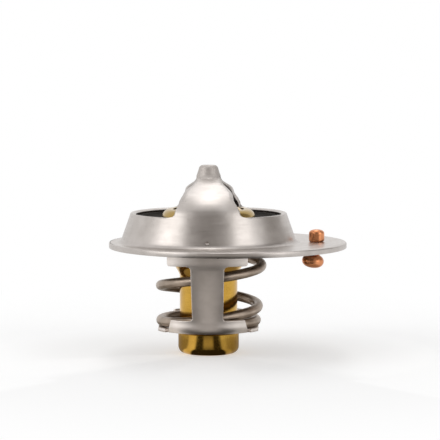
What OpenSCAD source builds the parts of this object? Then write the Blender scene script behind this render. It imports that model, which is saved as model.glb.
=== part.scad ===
// Engine thermostat: a flanged housing with a windowed bridge, a wax element that pushes
// a rubber-edged valve plate off its cone seat, a stirrup frame with the return spring,
// and a loose vent pin in the flange.
// +Z is up towards the bridge. The origin is the centre of the round flange on its underside.

/* [Flange and cone] */
// Outside diameter of the round flange
flange_d = 52; // [50:0.5:60]
// Thickness of the flange and cone sheet
sheet_t = 1.2; // [0.9:0.1:1.4]
// How far the valve axis lies to the left of the flange centre
valve_offset = 4.2; // [0:0.1:4.4]
// How much wider the cone is at the flange than at its rim, on the radius
cone_flare = 2.3; // [2:0.1:2.6]
// Height of the rim above the underside of the flange
rim_h = 7.7; // [7.2:0.1:8.2]
// Fillet between the flange and the cone
base_fillet = 1; // [0.5:0.1:1.2]
// Depth of the two punch marks that lock the frame in the cone
stake_depth = 0.35; // [0.1:0.05:0.5]
// Radius of the punch that makes them
stake_r = 0.5; // [0.4:0.05:0.7]

/* [Bridge] */
// Height of the nose above the underside of the flange
nose_h = 18; // [17.5:0.1:20]
// Radius of the rounding round the top of the nose
nose_round = 0.9; // [0.6:0.05:1.1]
// How much wider the neck under the nose is, on the radius
neck_flare = 1.25; // [1:0.05:1.5]
// Height of the nose and its neck
neck_h = 2.95; // [2.6:0.05:3.2]
// Radius of the nose near its top
nose_r = 2.2; // [1.9:0.05:2.4]
// Sheet thickness of the nose and the crown, drawn thinner than the cone
nose_t = 0.8; // [0.6:0.05:0.9]
// Radius at which the crown turns down into the legs
crown_r = 11.1; // [10.5:0.1:12]
// Height of the crown at that radius
crown_h = 12.6; // [12.3:0.05:13]
// How far the legs bow out past the crown before they reach the rim
leg_bow = 4; // [3.5:0.1:4.4]
// Drop of the rounded shoulder between the crown and the legs
shoulder_drop = 1.25; // [1:0.05:1.5]
// Half-width of the bridge strap at the nose
waist_w = 2.65; // [2.4:0.05:3]
// Half-width of the bridge strap at the crown
crown_w = 5.4; // [5:0.1:6]
// Half-width of the bridge strap above its roots
shin_w = 5.8; // [5.4:0.1:6.4]
// Half-width of the bridge strap at its roots
root_w = 7; // [6.5:0.1:8]
// Fillet between a root and the rim
root_fillet = 1.2; // [0.4:0.1:2]

/* [Frame] */
// Thickness of the frame sheet
frame_t = 0.8; // [0.6:0.05:1]
// Underside of the foot plate, below the flange
foot_drop = 17.9; // [17:0.1:20]
// Height of the turned-up foot walls
foot_wall_h = 3; // [2.6:0.1:3.4]
// Outside radius of the foot walls
foot_r = 12.6; // [12.5:0.1:13.5]
// Half-width of the foot walls at their top
foot_wall_w = 8.05; // [7.5:0.05:9]
// Half-width of the foot plate
foot_plate_w = 10.9; // [10:0.1:11.5]
// Half-width of a leg at the foot
leg_w = 3.35; // [3:0.05:4]
// Half-width of a leg at its band
leg_top_w = 3.6; // [3.2:0.05:4.2]
// Half-width of the bands that sit inside the cone
band_w = 8.67; // [8:0.05:10]
// How far the bands reach below the flange
band_drop = 2.7; // [2:0.1:3.5]
// How far the bands reach up inside the cone
band_rise = 3; // [2.4:0.1:3.2]

/* [Spring] */
// Wire diameter of the main spring
wire_d = 2.15; // [1.8:0.05:2.3]
// Gap between the bottom coil and the foot walls
spring_foot_gap = 0.3; // [0.2:0.05:0.6]
// Gap between the top coil and the step of the valve plate
spring_head_gap = 0.35; // [0.25:0.05:0.6]
// Rise of the free coils in one turn
spring_pitch = 8.95; // [8.6:0.05:9.4]
// How far the free coils bow sideways at mid height
spring_bow = 0.45; // [0:0.05:0.6]
// How far the free coils lean up at the front
spring_lean = 0.35; // [0:0.05:0.4]

/* [Valve] */
// Thickness of the valve plate
plate_t = 0.9; // [0.7:0.05:1.1]
// Height of the valve plate's upper face above the underside of the flange
plate_top = 5; // [4.8:0.05:5.2]
// Outside radius of the valve plate
plate_r = 14.9; // [14.6:0.1:15.1]
// Width of the plate's raised rim, outside the step that centres the spring
rim_land = 0.85; // [0.7:0.05:1.1]
// How far the sealing lip stands out past the plate
lip_reach = 1.08; // [0.9:0.02:1.3]
// Height of the sealing lip above the underside of the flange
lip_h = 6.9; // [6.6:0.05:7]
// Gap between the closed sealing lip and the cone
seat_gap = 0.1; // [0.05:0.01:0.2]

/* [Wax element] */
// How far the element reaches below the flange
element_drop = 23.3; // [22.5:0.1:25]
// Outside radius of the bulb at the bottom
bulb_r = 6.66; // [6.5:0.02:6.8]
// Outside radius of the element's body
body_r = 6.33; // [6.1:0.01:6.4]
// Outside radius of the widened neck under the valve plate
shoulder_r = 7.8; // [7.6:0.05:8.2]
// Outside radius of the rolled collar
collar_r = 10.2; // [9.9:0.05:10.3]
// Height of the rolled collar
collar_h = 3.45; // [3.2:0.05:3.6]
// Wall thickness of the element case
case_t = 1.05; // [0.8:0.05:1.2]
// Radius of the guide's neck
guide_r = 4.4; // [3.8:0.1:4.8]
// Height of the guide's neck above the underside of the flange
guide_h = 12; // [11:0.1:12.4]
// Diameter of the piston
piston_d = 3.6; // [3:0.1:3.8]
// How far the piston reaches below the flange
piston_drop = 12.5; // [11:0.1:13]
// Running clearance of the piston in the guide, on the radius
piston_gap = 0.04; // [0.02:0.01:0.06]
// Wall of the rubber boot round the piston
boot_t = 1.7; // [1.4:0.1:2]

/* [Vent pin] */
// Distance of the vent pin from the foot of the cone
vent_gap = 4.1; // [3.6:0.1:4.8]
// Diameter of the vent hole
vent_hole_d = 2.5; // [2.2:0.1:2.8]
// Diameter of the pin's stem
vent_stem_d = 1.8; // [1.4:0.1:2]
// Diameter of the pin's upper head
vent_head_d = 3.4; // [3.1:0.1:4]
// Height of the pin's upper head
vent_head_h = 2.7; // [2:0.1:3.2]
// Width of the squashed bead at the pin's lower end
vent_bead_d = 4.8; // [4.2:0.1:5.2]
// Height of the squashed bead
vent_bead_h = 3.1; // [2.6:0.1:3.4]
// How far the pin can rise before its bead meets the flange
vent_rise = 1.3; // [0.8:0.1:2]

/* [Hidden] */
$fn = 96;
// Gap between parts that sit face to face
seat = 0.02;
steel = [0.74, 0.72, 0.70];
spring_steel = [0.45, 0.41, 0.37];
brass = [0.80, 0.64, 0.30];
copper = [0.74, 0.42, 0.25];
rubber = [0.08, 0.08, 0.08];
fluorine_white = [0.92, 0.92, 0.90];
wax = [0.86, 0.82, 0.66];
reach = flange_d;

// Cone wall: a straight line in the section, from the flange to the rim. Its place comes
// from the valve plate, whose sealing lip just clears it.
cone_slope = cone_flare / (rim_h - sheet_t);
cone_cos = cos(atan(cone_slope));
cone_inset = sheet_t / cone_cos;
lip_round = 0.2;
lip_r = plate_r + lip_reach;
cone_rim_r = lip_r + seat_gap + cone_inset - cone_slope * (rim_h - lip_h + lip_round);
cone_base_r = cone_rim_r + cone_flare;
function cone_out(z) = cone_base_r - cone_slope * (z - sheet_t);
function cone_in(z) = cone_out(z) - cone_inset;

// Frame
foot_z = -foot_drop;
foot_top = foot_z + frame_t;
foot_bend = 1.6;
wall_top = foot_z + foot_wall_h;
band_gap = 0.05;
band_r = cone_in(band_rise) + 0.25;
leg_bend = 0.9;
foot_hole_r = max(bulb_r, body_r) + 0.35;

// Spring
wire_r = wire_d / 2;
step_slope = 0.5;
step_r = plate_r - rim_land - step_slope;
spring_foot_r = foot_r - frame_t - spring_foot_gap;
spring_head_r = step_r - spring_bow - spring_head_gap;
spring_bottom = foot_top + wire_r + seat;
plate_under = plate_top - plate_t;
spring_top = plate_under - wire_r - seat;
spring_start = -100;
spring_lift = 236;
spring_blend = 55;
spring_climb = (spring_top - spring_bottom) / spring_pitch * 360;
spring_land = spring_lift + spring_climb;
spring_end = spring_land + 160;
spring_steps = 32;
wire_sides = 14;

// Valve
seal_in_r = collar_r + 0.25;
plate_bore = shoulder_r + 0.05;
step_h = 0.5;
plate_inset = 0.35;

// Wax element
case_z = -element_drop;
bulb_corner = 1.55;
bulb_top = foot_z - 0.5;
bulb_taper = 0.35;
flare_z = -6.1;
flare_h = 3.1;
case_in_r = body_r - case_t;
neck_in_r = shoulder_r - case_t;
collar_top = plate_top + collar_h;
roll_t = 0.8;
clamp_r = collar_r - case_t - 0.25;
clamp_top = collar_top - roll_t;
guide_flange_t = 1;
boot_flange_t = 0.7;
ledge_z = clamp_top - guide_flange_t - boot_flange_t - seat;
roll_in_r = clamp_r - 1.3;
washer_r = 2.9;
washer_t = 0.6;
piston_r = piston_d / 2;
tip_taper_h = 4.5;
tip_end_r = piston_r / 2;
boot_r = piston_r + boot_t;
boot_end_t = 1.8;
nose_under = nose_h - nose_t;
tip_r = nose_r - nose_t - 0.2;

// Vent pin
vent_x = cone_base_r - valve_offset + vent_gap;
bead_tilt = 7;
bead_shift = -0.55;
head_shift = 0.25;
bead_top = -vent_rise - 0.15;

// Points along a circular arc, both ends included
function arc(c, r, a0, a1, n) =
    [for (i = [0:n]) let (a = a0 + (a1 - a0) * i / n) c + r * [cos(a), sin(a)]];

// Points along a cubic curve, both ends included
function curve(p0, p1, p2, p3, n) =
    [for (i = [0:n]) let (t = i / n, u = 1 - t)
        u * u * u * p0 + 3 * u * u * t * p1 + 3 * u * t * t * p2 + t * t * t * p3];

// A list back to front
function back(p) = [for (i = [len(p) - 1:-1:0]) p[i]];

// Unit normal to the left of the direction from a to b
function left_normal(a, b) = let (d = b - a) [-d.y, d.x] / norm(d);

// A path moved to its left by a distance that may differ from point to point
function shifted(p, d) =
    [for (i = [0:len(p) - 1])
        let (
            before = i == 0 ? left_normal(p[0], p[1]) : left_normal(p[i - 1], p[i]),
            after = i == len(p) - 1 ? before : left_normal(p[i], p[i + 1]),
            m = (before + after) / norm(before + after)
        )
        p[i] + m * d[i] / (m * after)];

// A smooth ramp from 0 at a to 1 at b
function ramp(x, a, b) = let (t = min(1, max(0, (x - a) / (b - a)))) t * t * (3 - 2 * t);

// Turns a section about the valve axis
module turned(points) {
    translate([-valve_offset, 0, 0])
        rotate_extrude() polygon(points);
}

// Outer line of the drawn housing, from the flange over the crown to the top of the nose
housing_line = concat(
    [[cone_base_r + 1.3 * base_fillet, sheet_t]],
    curve([cone_base_r + base_fillet, sheet_t], [cone_base_r + 0.35 * base_fillet, sheet_t],
        [cone_out(sheet_t + 0.5 * base_fillet), sheet_t + 0.35 * base_fillet],
        [cone_out(sheet_t + 1.1 * base_fillet), sheet_t + 1.1 * base_fillet], 6),
    curve([cone_out(rim_h), rim_h], [cone_out(1.26 * rim_h), 1.26 * rim_h],
        [crown_r + leg_bow, crown_h - shoulder_drop], [crown_r, crown_h], 12),
    curve([nose_r + neck_flare, nose_h - neck_h], [nose_r + 0.36 * neck_flare, nose_h - 0.915 * neck_h],
        [nose_r + 0.2 * neck_flare, nose_h - 0.61 * neck_h], [nose_r, nose_h - 1.15 * nose_round], 7),
    arc([nose_r - 1.07 * nose_round, nose_h - nose_round], nose_round, 10, 80, 4),
    [[0, nose_h]]
);
housing_count = len(housing_line);
nose_from = housing_count - 14;
housing_t = [for (i = [0:housing_count - 1])
    i < nose_from ? sheet_t + (nose_t - sheet_t) * ramp(housing_line[i].y, rim_h, crown_h) : nose_t];

// Side of the bridge strap in plan, from the nose outwards
strap_side = concat(
    curve([waist_w, 0], [waist_w, 0.45 * crown_r], [0.89 * crown_w, 0.54 * crown_r],
        [crown_w, 0.87 * crown_r], 8),
    [[shin_w, 1.21 * crown_r], [shin_w, reach]]
);

// Plan of the opening to the right of the strap
module window_plan() {
    mirrored = [for (p = back(strap_side)) [p.x, -p.y]];
    polygon(concat(strap_side, [[reach, reach], [reach, -reach]], mirrored));
}

// Front view of the opening: above the rim and outside the widening root
module window_front() {
    root_top = rim_h + root_fillet;
    polygon(concat(
        [[0, reach], [0, crown_h - 1.1 * sheet_t], [shin_w, crown_h - 1.1 * sheet_t], [root_w, root_top]],
        arc([root_w + root_fillet, root_top], root_fillet, 180, 270, 6),
        [[reach, rim_h], [reach, reach]]
    ));
}

module window() {
    translate([-valve_offset, 0, 0])
        intersection() {
            linear_extrude(reach) window_plan();
            translate([0, reach, 0]) rotate([90, 0, 0]) linear_extrude(2 * reach) window_front();
        }
}

module drawn_shell() {
    inner = shifted(housing_line, housing_t);
    turned(concat(housing_line, [[0, nose_under]], back([for (p = inner) if (p.x > 0.3) p])));
}

// Shallow punch mark on the outside of the cone, at the front and the back
module stake_mark() {
    stake_z = band_rise - stake_r;
    for (side = [-1, 1])
        translate([-valve_offset, side * (cone_out(stake_z) + stake_r - stake_depth), stake_z])
            sphere(r = stake_r);
}

module flange_ring() {
    difference() {
        cylinder(r = flange_d / 2, h = sheet_t);
        translate([-valve_offset, 0, -1]) cylinder(r = cone_base_r + 1.1 * base_fillet, h = sheet_t + 2);
    }
}

module flange_housing() {
    color(steel)
        difference() {
            union() {
                flange_ring();
                drawn_shell();
            }
            window();
            translate([-2 * valve_offset, 0, 0]) mirror([1, 0, 0]) window();
            translate([vent_x, 0, -1]) cylinder(d = vent_hole_d, h = sheet_t + 2);
            stake_mark();
        }
}

// Outer line of the stirrup, from the top of a band down the leg to the hole in the foot
frame_line = concat(
    [[cone_in(band_rise) - band_gap, band_rise]],
    [[band_r, band_rise - 1.1], [band_r, -band_drop + 0.4]],
    [[band_r - 0.25, -band_drop - 0.7]],
    [[foot_r + 0.3, wall_top + 0.7], [foot_r, wall_top - 0.3]],
    back(arc([foot_r - foot_bend, foot_z + foot_bend], foot_bend, -90, 0, 6)),
    [[foot_hole_r, foot_z]]
);

// Front view of the stirrup: bands at the top, legs, foot walls and the foot plate
module frame_front() {
    leg_top = -band_drop;
    half = concat(
        [[band_w, band_rise], [band_w, leg_top + 0.35], [band_w - 0.35, leg_top]],
        arc([leg_top_w + leg_bend, leg_top - leg_bend], leg_bend, 90, 180, 5),
        arc([leg_w + 0.6, wall_top + 0.6], 0.6, 180, 270, 4),
        [[foot_wall_w, wall_top], [foot_wall_w + 0.55, foot_top], [foot_plate_w, foot_top]],
        [[foot_plate_w, foot_z - 1]]
    );
    polygon(concat(half, back([for (p = half) [-p.x, p.y]])));
}

module lower_frame() {
    inner = shifted(frame_line, [for (p = frame_line) -frame_t]);
    color(steel)
        intersection() {
            turned(concat(frame_line, back(inner)));
            translate([-valve_offset, reach, 0])
                rotate([90, 0, 0]) linear_extrude(2 * reach) frame_front();
        }
}

// Height of the wire's centre line at an angle along the spring
function spring_climbed(a) =
    let (
        s = spring_blend,
        up = max(0, a - spring_lift),
        soft_in = a > spring_lift - s && a < spring_lift + s
            ? pow(a - spring_lift + s, 2) / (4 * s) : up,
        over = max(0, a - spring_land),
        soft_out = a > spring_land - s && a < spring_land + s
            ? pow(a - spring_land + s, 2) / (4 * s) : over
    )
    spring_bottom + (soft_in - soft_out) * spring_pitch / 360;

function spring_point(a) =
    let (
        z = spring_climbed(a),
        u = (z - spring_bottom) / (spring_top - spring_bottom),
        r = spring_foot_r + (spring_head_r - spring_foot_r) * u - wire_r,
        free = ramp(a, 180, 300) * (1 - ramp(a, spring_land - 150, spring_land))
    )
    [r * cos(a) + spring_bow * sin(180 * u), r * sin(a), z - spring_lean * free * sin(a)];

module main_spring() {
    count = round((spring_end - spring_start) / 360 * spring_steps);
    step = (spring_end - spring_start) / count;
    rings = [for (i = [0:count]) let (a = spring_start + i * step)
        let (
            p = spring_point(a),
            ahead = spring_point(a + 1) - spring_point(a - 1),
            t = ahead / norm(ahead),
            side = cross(t, [0, 0, 1]) / norm(cross(t, [0, 0, 1])),
            up = cross(side, t)
        )
        [for (k = [0:wire_sides - 1]) let (b = 360 * k / wire_sides)
            p + wire_r * (cos(b) * side + sin(b) * up)]];
    points = [for (ring = rings) for (p = ring) p];
    last = count * wire_sides;
    walls = [for (i = [0:count - 1]) for (k = [0:wire_sides - 1])
        let (a = i * wire_sides, n = (k + 1) % wire_sides)
        [a + k, a + n, a + wire_sides + n, a + wire_sides + k]];
    caps = [
        [for (k = [wire_sides - 1:-1:0]) k],
        [for (k = [0:wire_sides - 1]) last + k]
    ];
    color(spring_steel)
        translate([-valve_offset, 0, 0]) polyhedron(points, concat(walls, caps), convexity = 8);
}

// Half section of the piston, grown by a gap; the boot's cavity uses it too
function piston_section(gap, top) = [
    [0, -piston_drop - gap],
    [tip_end_r + gap * 0.6, -piston_drop - gap],
    [tip_end_r + 0.35 + gap, -piston_drop + 0.5],
    [piston_r + gap, -piston_drop + tip_taper_h],
    [piston_r + gap, top]
];

module piston() {
    shaft_top = nose_h - 4;
    color(steel)
        turned(concat(piston_section(0, shaft_top),
            [[tip_r + 0.25, nose_h - 2.5], [tip_r, nose_under - 0.35], [tip_r - 0.3, nose_under - seat],
             [0, nose_under - seat]]));
}

module valve_plate() {
    outer_z = plate_under + step_h;
    color(steel)
        turned([
            [plate_bore, plate_under], [step_r, plate_under], [step_r + step_slope, outer_z],
            [plate_r, outer_z], [plate_r, outer_z + plate_t - 0.2], [plate_r - 0.2, outer_z + plate_t],
            [step_r, outer_z + plate_t], [step_r - step_slope, plate_top], [plate_bore, plate_top]
        ]);
}

module valve_seal() {
    rim_z = plate_under + step_h;
    top_z = rim_z + plate_t;
    color(rubber)
        turned(concat(
            [[seal_in_r, plate_top], [step_r - step_slope, plate_top], [step_r, top_z], [plate_r - 0.2, top_z],
             [plate_r, top_z - 0.2], [plate_r, rim_z], [plate_r - plate_inset, rim_z],
             [plate_r - plate_inset, rim_z - 0.45], [plate_r + 0.3, rim_z - 0.45]],
            curve([lip_r - 0.2, rim_z + 0.1], [lip_r, rim_z + 0.6], [lip_r + 0.05, lip_h - 0.8],
                [lip_r, lip_h - lip_round], 4),
            [[lip_r - lip_round, lip_h], [lip_r - 0.7, lip_h]],
            curve([lip_r - 1.1, lip_h - 0.15], [lip_r - 1.6, plate_top + 1.35],
                [seal_in_r + 2.5, plate_top + 1.15], [seal_in_r + 0.6, plate_top + 1.1], 6),
            [[seal_in_r, plate_top + 0.7]]
        ));
}

// Inner line of the case, from the bottom up to the rolled lip
case_inner = concat(
    [[0, case_z + case_t]],
    arc([case_in_r - 0.8, case_z + case_t + 0.8], 0.8, -90, 0, 4),
    [[case_in_r, flare_z], [neck_in_r, flare_z + flare_h], [neck_in_r, ledge_z],
     [clamp_r, ledge_z], [clamp_r, clamp_top], [roll_in_r, clamp_top]]
);

module element_case() {
    outer = concat(
        [[0, case_z]],
        arc([bulb_r - bulb_corner, case_z + bulb_corner], bulb_corner, -90, 0, 7),
        [[bulb_r, bulb_top - bulb_taper], [body_r, bulb_top]],
        curve([body_r, flare_z], [body_r + 0.2, flare_z + 0.9], [shoulder_r - 0.1, flare_z + flare_h - 1],
            [shoulder_r, flare_z + flare_h], 5),
        [[shoulder_r, plate_top + seat]],
        arc([collar_r - 0.5, plate_top + seat + 0.5], 0.5, -90, 0, 3),
        curve([collar_r, collar_top - 2], [collar_r, collar_top - 0.8], [collar_r - 0.8, collar_top],
            [collar_r - 1.9, collar_top], 8),
        arc([roll_in_r + roll_t / 2, collar_top - roll_t / 2], roll_t / 2, 90, 180, 3)
    );
    color(brass) turned(concat(outer, back(case_inner)));
}

module element_guide() {
    flange_z = clamp_top - guide_flange_t;
    washer_z = flange_z + washer_t + seat;
    bore_r = piston_r + piston_gap;
    shoulder_z = collar_top + 0.4;
    color(brass)
        turned(concat(
            [[washer_r + seat, flange_z], [clamp_r - seat, flange_z], [clamp_r - seat, clamp_top - seat],
             [roll_in_r - 0.1, clamp_top - seat], [roll_in_r - 0.3, collar_top - 0.25]],
            curve([roll_in_r - 0.9, shoulder_z - 0.25], [guide_r + 1.3, shoulder_z],
                [guide_r, shoulder_z], [guide_r, shoulder_z + 1.2], 5),
            [[guide_r, guide_h - 0.5], [guide_r - 0.5, guide_h], [bore_r + 0.4, guide_h],
             [bore_r, guide_h - 0.4], [bore_r, washer_z], [washer_r + seat, washer_z]]
        ));
}

module rubber_boot() {
    flange_z = clamp_top - guide_flange_t - seat;
    inner = piston_section(piston_gap, flange_z);
    end_z = -piston_drop - boot_end_t;
    color(rubber)
        turned(concat(inner,
            [[clamp_r - seat, flange_z], [clamp_r - seat, ledge_z + seat],
             [neck_in_r - 0.6, ledge_z + seat], [boot_r + 0.5, ledge_z - 1], [boot_r, ledge_z - 2.2],
             [boot_r - 0.4, -piston_drop + 1]],
            back(arc([boot_r - 1.6, end_z + 1.2], 1.2, -90, 0, 4)),
            [[0, end_z]]));
}

module backup_washer() {
    z = clamp_top - guide_flange_t;
    color(fluorine_white)
        turned([[piston_r + piston_gap, z], [washer_r, z], [washer_r, z + washer_t],
            [piston_r + piston_gap, z + washer_t]]);
}

module wax_charge() {
    end_z = -piston_drop - boot_end_t - seat;
    w = boot_r + seat;
    outer = concat(
        [[0, case_z + case_t + seat]],
        arc([case_in_r - 0.8 - seat, case_z + case_t + 0.8 + seat], 0.8, -90, 0, 4),
        [[case_in_r - seat, flare_z], [neck_in_r - seat, flare_z + flare_h + seat],
         [neck_in_r - seat, ledge_z - 0.6], [neck_in_r - 0.6, ledge_z - 0.1]]
    );
    color(wax)
        turned(concat(outer,
            [[w + 0.5, ledge_z - 1.1], [w, ledge_z - 2.2 - seat], [w - 0.4, -piston_drop + 1]],
            back(arc([boot_r - 1.6, end_z + 1.2], 1.2 + seat, -90, 0, 4)),
            [[0, end_z - seat]]));
}

module vent_pin() {
    head_r = vent_head_d / 2;
    head_z = sheet_t + seat;
    bead_r = vent_bead_d / 2;
    bead_half = vent_bead_h / 2;
    color(copper)
        translate([vent_x, 0, 0]) {
            translate([head_shift, 0, head_z])
                rotate_extrude()
                    polygon(concat([[0, 0], [head_r - 0.3, 0], [head_r, 0.3]],
                        curve([head_r, vent_head_h - 1], [head_r, vent_head_h - 0.3],
                            [head_r - 0.6, vent_head_h], [0, vent_head_h], 8)));
            translate([0, 0, bead_top - 0.8]) cylinder(d = vent_stem_d, h = head_z - bead_top + 1.2);
            translate([bead_shift, 0, bead_top - bead_half])
                rotate([0, bead_tilt, 0])
                    rotate_extrude()
                        polygon(concat(
                            curve([0, -bead_half], [bead_r * 0.62, -bead_half], [bead_r, -bead_half * 0.6],
                                [bead_r, 0], 7),
                            curve([bead_r, 0], [bead_r, bead_half * 0.6], [bead_r * 0.62, bead_half],
                                [0, bead_half], 7)));
        }
}

flange_housing();
lower_frame();
main_spring();
piston();
valve_plate();
valve_seal();
element_case();
element_guide();
rubber_boot();
backup_washer();
wax_charge();
vent_pin();
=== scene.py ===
"""Looks of the engine thermostat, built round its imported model.

Every piece is modelled in millimetres about the valve's axis, moved to its place and scaled
to metres at the end. Each sub-assembly is a class, and each finish is a frozen dataclass.
"""

import logging
import math
from collections.abc import Callable
from dataclasses import dataclass, field
from enum import Enum

import bmesh
import bpy
from mathutils import Matrix, Vector

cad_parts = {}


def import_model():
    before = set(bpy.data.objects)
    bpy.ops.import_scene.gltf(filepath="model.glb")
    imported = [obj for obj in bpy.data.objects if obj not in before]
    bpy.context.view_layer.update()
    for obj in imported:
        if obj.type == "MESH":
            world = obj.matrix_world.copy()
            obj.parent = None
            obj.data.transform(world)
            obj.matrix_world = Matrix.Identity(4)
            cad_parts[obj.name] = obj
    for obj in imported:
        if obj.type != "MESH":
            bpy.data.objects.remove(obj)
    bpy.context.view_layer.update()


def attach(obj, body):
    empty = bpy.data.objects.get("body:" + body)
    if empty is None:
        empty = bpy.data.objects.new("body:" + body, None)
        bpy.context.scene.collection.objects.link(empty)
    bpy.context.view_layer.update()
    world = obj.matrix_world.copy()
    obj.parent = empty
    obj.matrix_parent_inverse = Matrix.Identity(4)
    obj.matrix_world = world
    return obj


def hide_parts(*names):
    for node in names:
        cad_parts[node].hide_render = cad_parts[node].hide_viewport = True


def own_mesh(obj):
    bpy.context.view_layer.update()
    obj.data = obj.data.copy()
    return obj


log = logging.getLogger("thermostat")

Mesh = bmesh.types.BMesh
Piece = bpy.types.Object
Socket = bpy.types.NodeSocket
Pair = tuple[float, float]
Colour = tuple[float, float, float]
Placing = Callable[[float, float], Vector]

MM = 0.001
TAU = 2 * math.pi
WELD = 1e-4
TINY = 1e-9
FINE_TURN = 192
TURN = 144
COARSE_TURN = 96
PIN_TURN = 64
VALVE_AXIS_X = -4.2


class Body(Enum):
    """The bodies that pieces ride on."""

    HOUSING = "housing"
    VALVE = "valve"
    VENT = "vent"


class Mark(Enum):
    """The faces of a thickened sheet, marked by material index."""

    OUTSIDE = 0
    INSIDE = 1
    EDGE = 2


def smooth_step(value: float, start: float, end: float) -> float:
    """Smooth ramp.

    Args:
        value: The value that runs along the ramp.
        start: Where the ramp leaves 0.
        end: Where the ramp reaches 1.

    Returns:
        The height of the ramp, from 0 to 1.
    """
    share = min(1.0, max(0.0, (value - start) / (end - start)))
    return share * share * (3 - 2 * share)


def path(*pairs: Pair) -> list[Vector]:
    """Turns pairs of numbers into points."""
    return [Vector(pair) for pair in pairs]


def bezier(start: Pair, first: Pair, second: Pair, end: Pair, count: int) -> list[Vector]:
    """Points along a cubic curve.

    Args:
        start: Start of the curve.
        first: Handle of the start.
        second: Handle of the end.
        end: End of the curve.
        count: Number of stretches between the points.

    Returns:
        The points, both ends included.
    """
    p0, p1, p2, p3 = path(start, first, second, end)
    points = []
    for i in range(count + 1):
        t = i / count
        u = 1 - t
        points.append(u**3 * p0 + 3 * u * u * t * p1 + 3 * u * t * t * p2 + t**3 * p3)
    return points


def arc(centre: Pair, radius: float, start: float, end: float, count: int) -> list[Vector]:
    """Points along a circular arc.

    Args:
        centre: Centre of the circle.
        radius: Radius of the circle.
        start: Angle of the first point, in degrees.
        end: Angle of the last point, in degrees.
        count: Number of stretches between the points.

    Returns:
        The points, both ends included.
    """
    angles = [math.radians(start + (end - start) * i / count) for i in range(count + 1)]
    return [Vector(centre) + radius * Vector((math.cos(a), math.sin(a))) for a in angles]


def rounded(points: list[Vector], radius: float, closed: bool = True, count: int = 4) -> list[Vector]:
    """Rounds the corners of a line.

    Args:
        points: The corners, in order.
        radius: How far from its corner a rounding starts, held under half of each side.
        closed: Whether the last point joins the first.
        count: Stretches in each rounding.

    Returns:
        The line with each corner replaced by a short curve.
    """
    most = 0.45
    line = []
    last = len(points) - 1
    for i, corner in enumerate(points):
        if not closed and i in (0, last):
            line.append(corner)
            continue
        before = points[i - 1] - corner
        after = points[(i + 1) % len(points)] - corner
        reach = min(radius, most * before.length, most * after.length)
        start = corner + before.normalized() * reach
        end = corner + after.normalized() * reach
        for k in range(count + 1):
            t = k / count
            line.append((1 - t) ** 2 * start + 2 * t * (1 - t) * corner + t * t * end)
    return line


def way_to(azimuth_deg: float, elevation_deg: float) -> Vector:
    """Direction from the object, by the azimuth from its front to the right and the elevation."""
    a, e = math.radians(azimuth_deg), math.radians(elevation_deg)
    return Vector((math.sin(a) * math.cos(e), -math.cos(a) * math.cos(e), math.sin(e)))


class Line:
    """A line of points that can be walked by distance."""

    def __init__(self, points: list[Vector]) -> None:
        """Keeps the points and the distance to each.

        Args:
            points: The line's points, in order.
        """
        self.points = points
        self.walked = [0.0]
        for a, b in zip(points, points[1:]):
            self.walked.append(self.walked[-1] + (b - a).length)

    @property
    def length(self) -> float:
        """Length of the whole line."""
        return self.walked[-1]

    def at(self, distance: float) -> Vector:
        """Point at a distance along the line.

        Args:
            distance: Distance from the start, held to the line's length.

        Returns:
            The point.
        """
        distance = min(self.length, max(0.0, distance))
        for i in range(1, len(self.walked)):
            if distance <= self.walked[i] + TINY:
                step = self.walked[i] - self.walked[i - 1]
                share = (distance - self.walked[i - 1]) / step if step > TINY else 0.0
                return self.points[i - 1].lerp(self.points[i], share)
        return self.points[-1]

    def distance_where(self, test: Callable[[Vector], bool]) -> float:
        """Distance at which a test first holds, found by halving.

        Args:
            test: Takes a point and says whether it is past the place sought.

        Returns:
            The distance.
        """
        low, high = 0.0, self.length
        for _ in range(60):
            middle = (low + high) / 2
            if test(self.at(middle)):
                high = middle
            else:
                low = middle
        return high


def patch(bm: Mesh, columns: int, rows: int, place: Placing) -> None:
    """Adds a grid and moves each of its points to its place.

    Args:
        bm: The mesh to add to.
        columns: Faces across.
        rows: Faces along.
        place: Takes a point's shares across and along, and gives its place.
    """
    made = bmesh.ops.create_grid(bm, x_segments=columns, y_segments=rows, size=1)
    for vert in made["verts"]:
        vert.co = place((vert.co.x + 1) / 2, (vert.co.y + 1) / 2)


def turned(section: list[Vector], steps: int) -> Mesh:
    """Turns a half section about the axis.

    Args:
        section: Radius and height of each point. A section that starts and ends on the axis
            stays open there, and any other is closed.
        steps: Steps in the full turn.

    Returns:
        The turned solid.
    """
    bm = bmesh.new()
    verts = [bm.verts.new((p.x, 0, p.y)) for p in section]
    edges = [bm.edges.new(pair) for pair in zip(verts, verts[1:])]
    if section[0].x > WELD:
        edges.append(bm.edges.new((verts[-1], verts[0])))
    bmesh.ops.spin(
        bm, geom=verts + edges, cent=(0, 0, 0), axis=(0, 0, 1), angle=TAU, steps=steps, use_merge=True
    )
    bmesh.ops.remove_doubles(bm, verts=bm.verts, dist=WELD)
    bmesh.ops.recalc_face_normals(bm, faces=bm.faces)
    return bm


def bevelled(
    bm: Mesh, edges: list[bmesh.types.BMEdge], width: float, segments: int, slide: bool
) -> None:
    """Rounds edges of a mesh.

    Args:
        bm: The mesh.
        edges: The edges to round.
        width: Width of the rounding on either side.
        segments: Faces across it.
        slide: Whether the new edges slide along those they meet.
    """
    bmesh.ops.bevel(
        bm, geom=edges, offset=width, offset_type="OFFSET", segments=segments, profile=0.5,
        affect="EDGES", material=-1, clamp_overlap=False, loop_slide=slide,
    )


def as_object(bm: Mesh, name: str) -> Piece:
    """Puts a mesh into the scene as it is, in millimetres, and frees it.

    Args:
        bm: The mesh.
        name: Name of the object.

    Returns:
        The new object.
    """
    mesh = bpy.data.meshes.new(name)
    bm.to_mesh(mesh)
    bm.free()
    obj = bpy.data.objects.new(name, mesh)
    bpy.context.scene.collection.objects.link(obj)
    return obj


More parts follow.
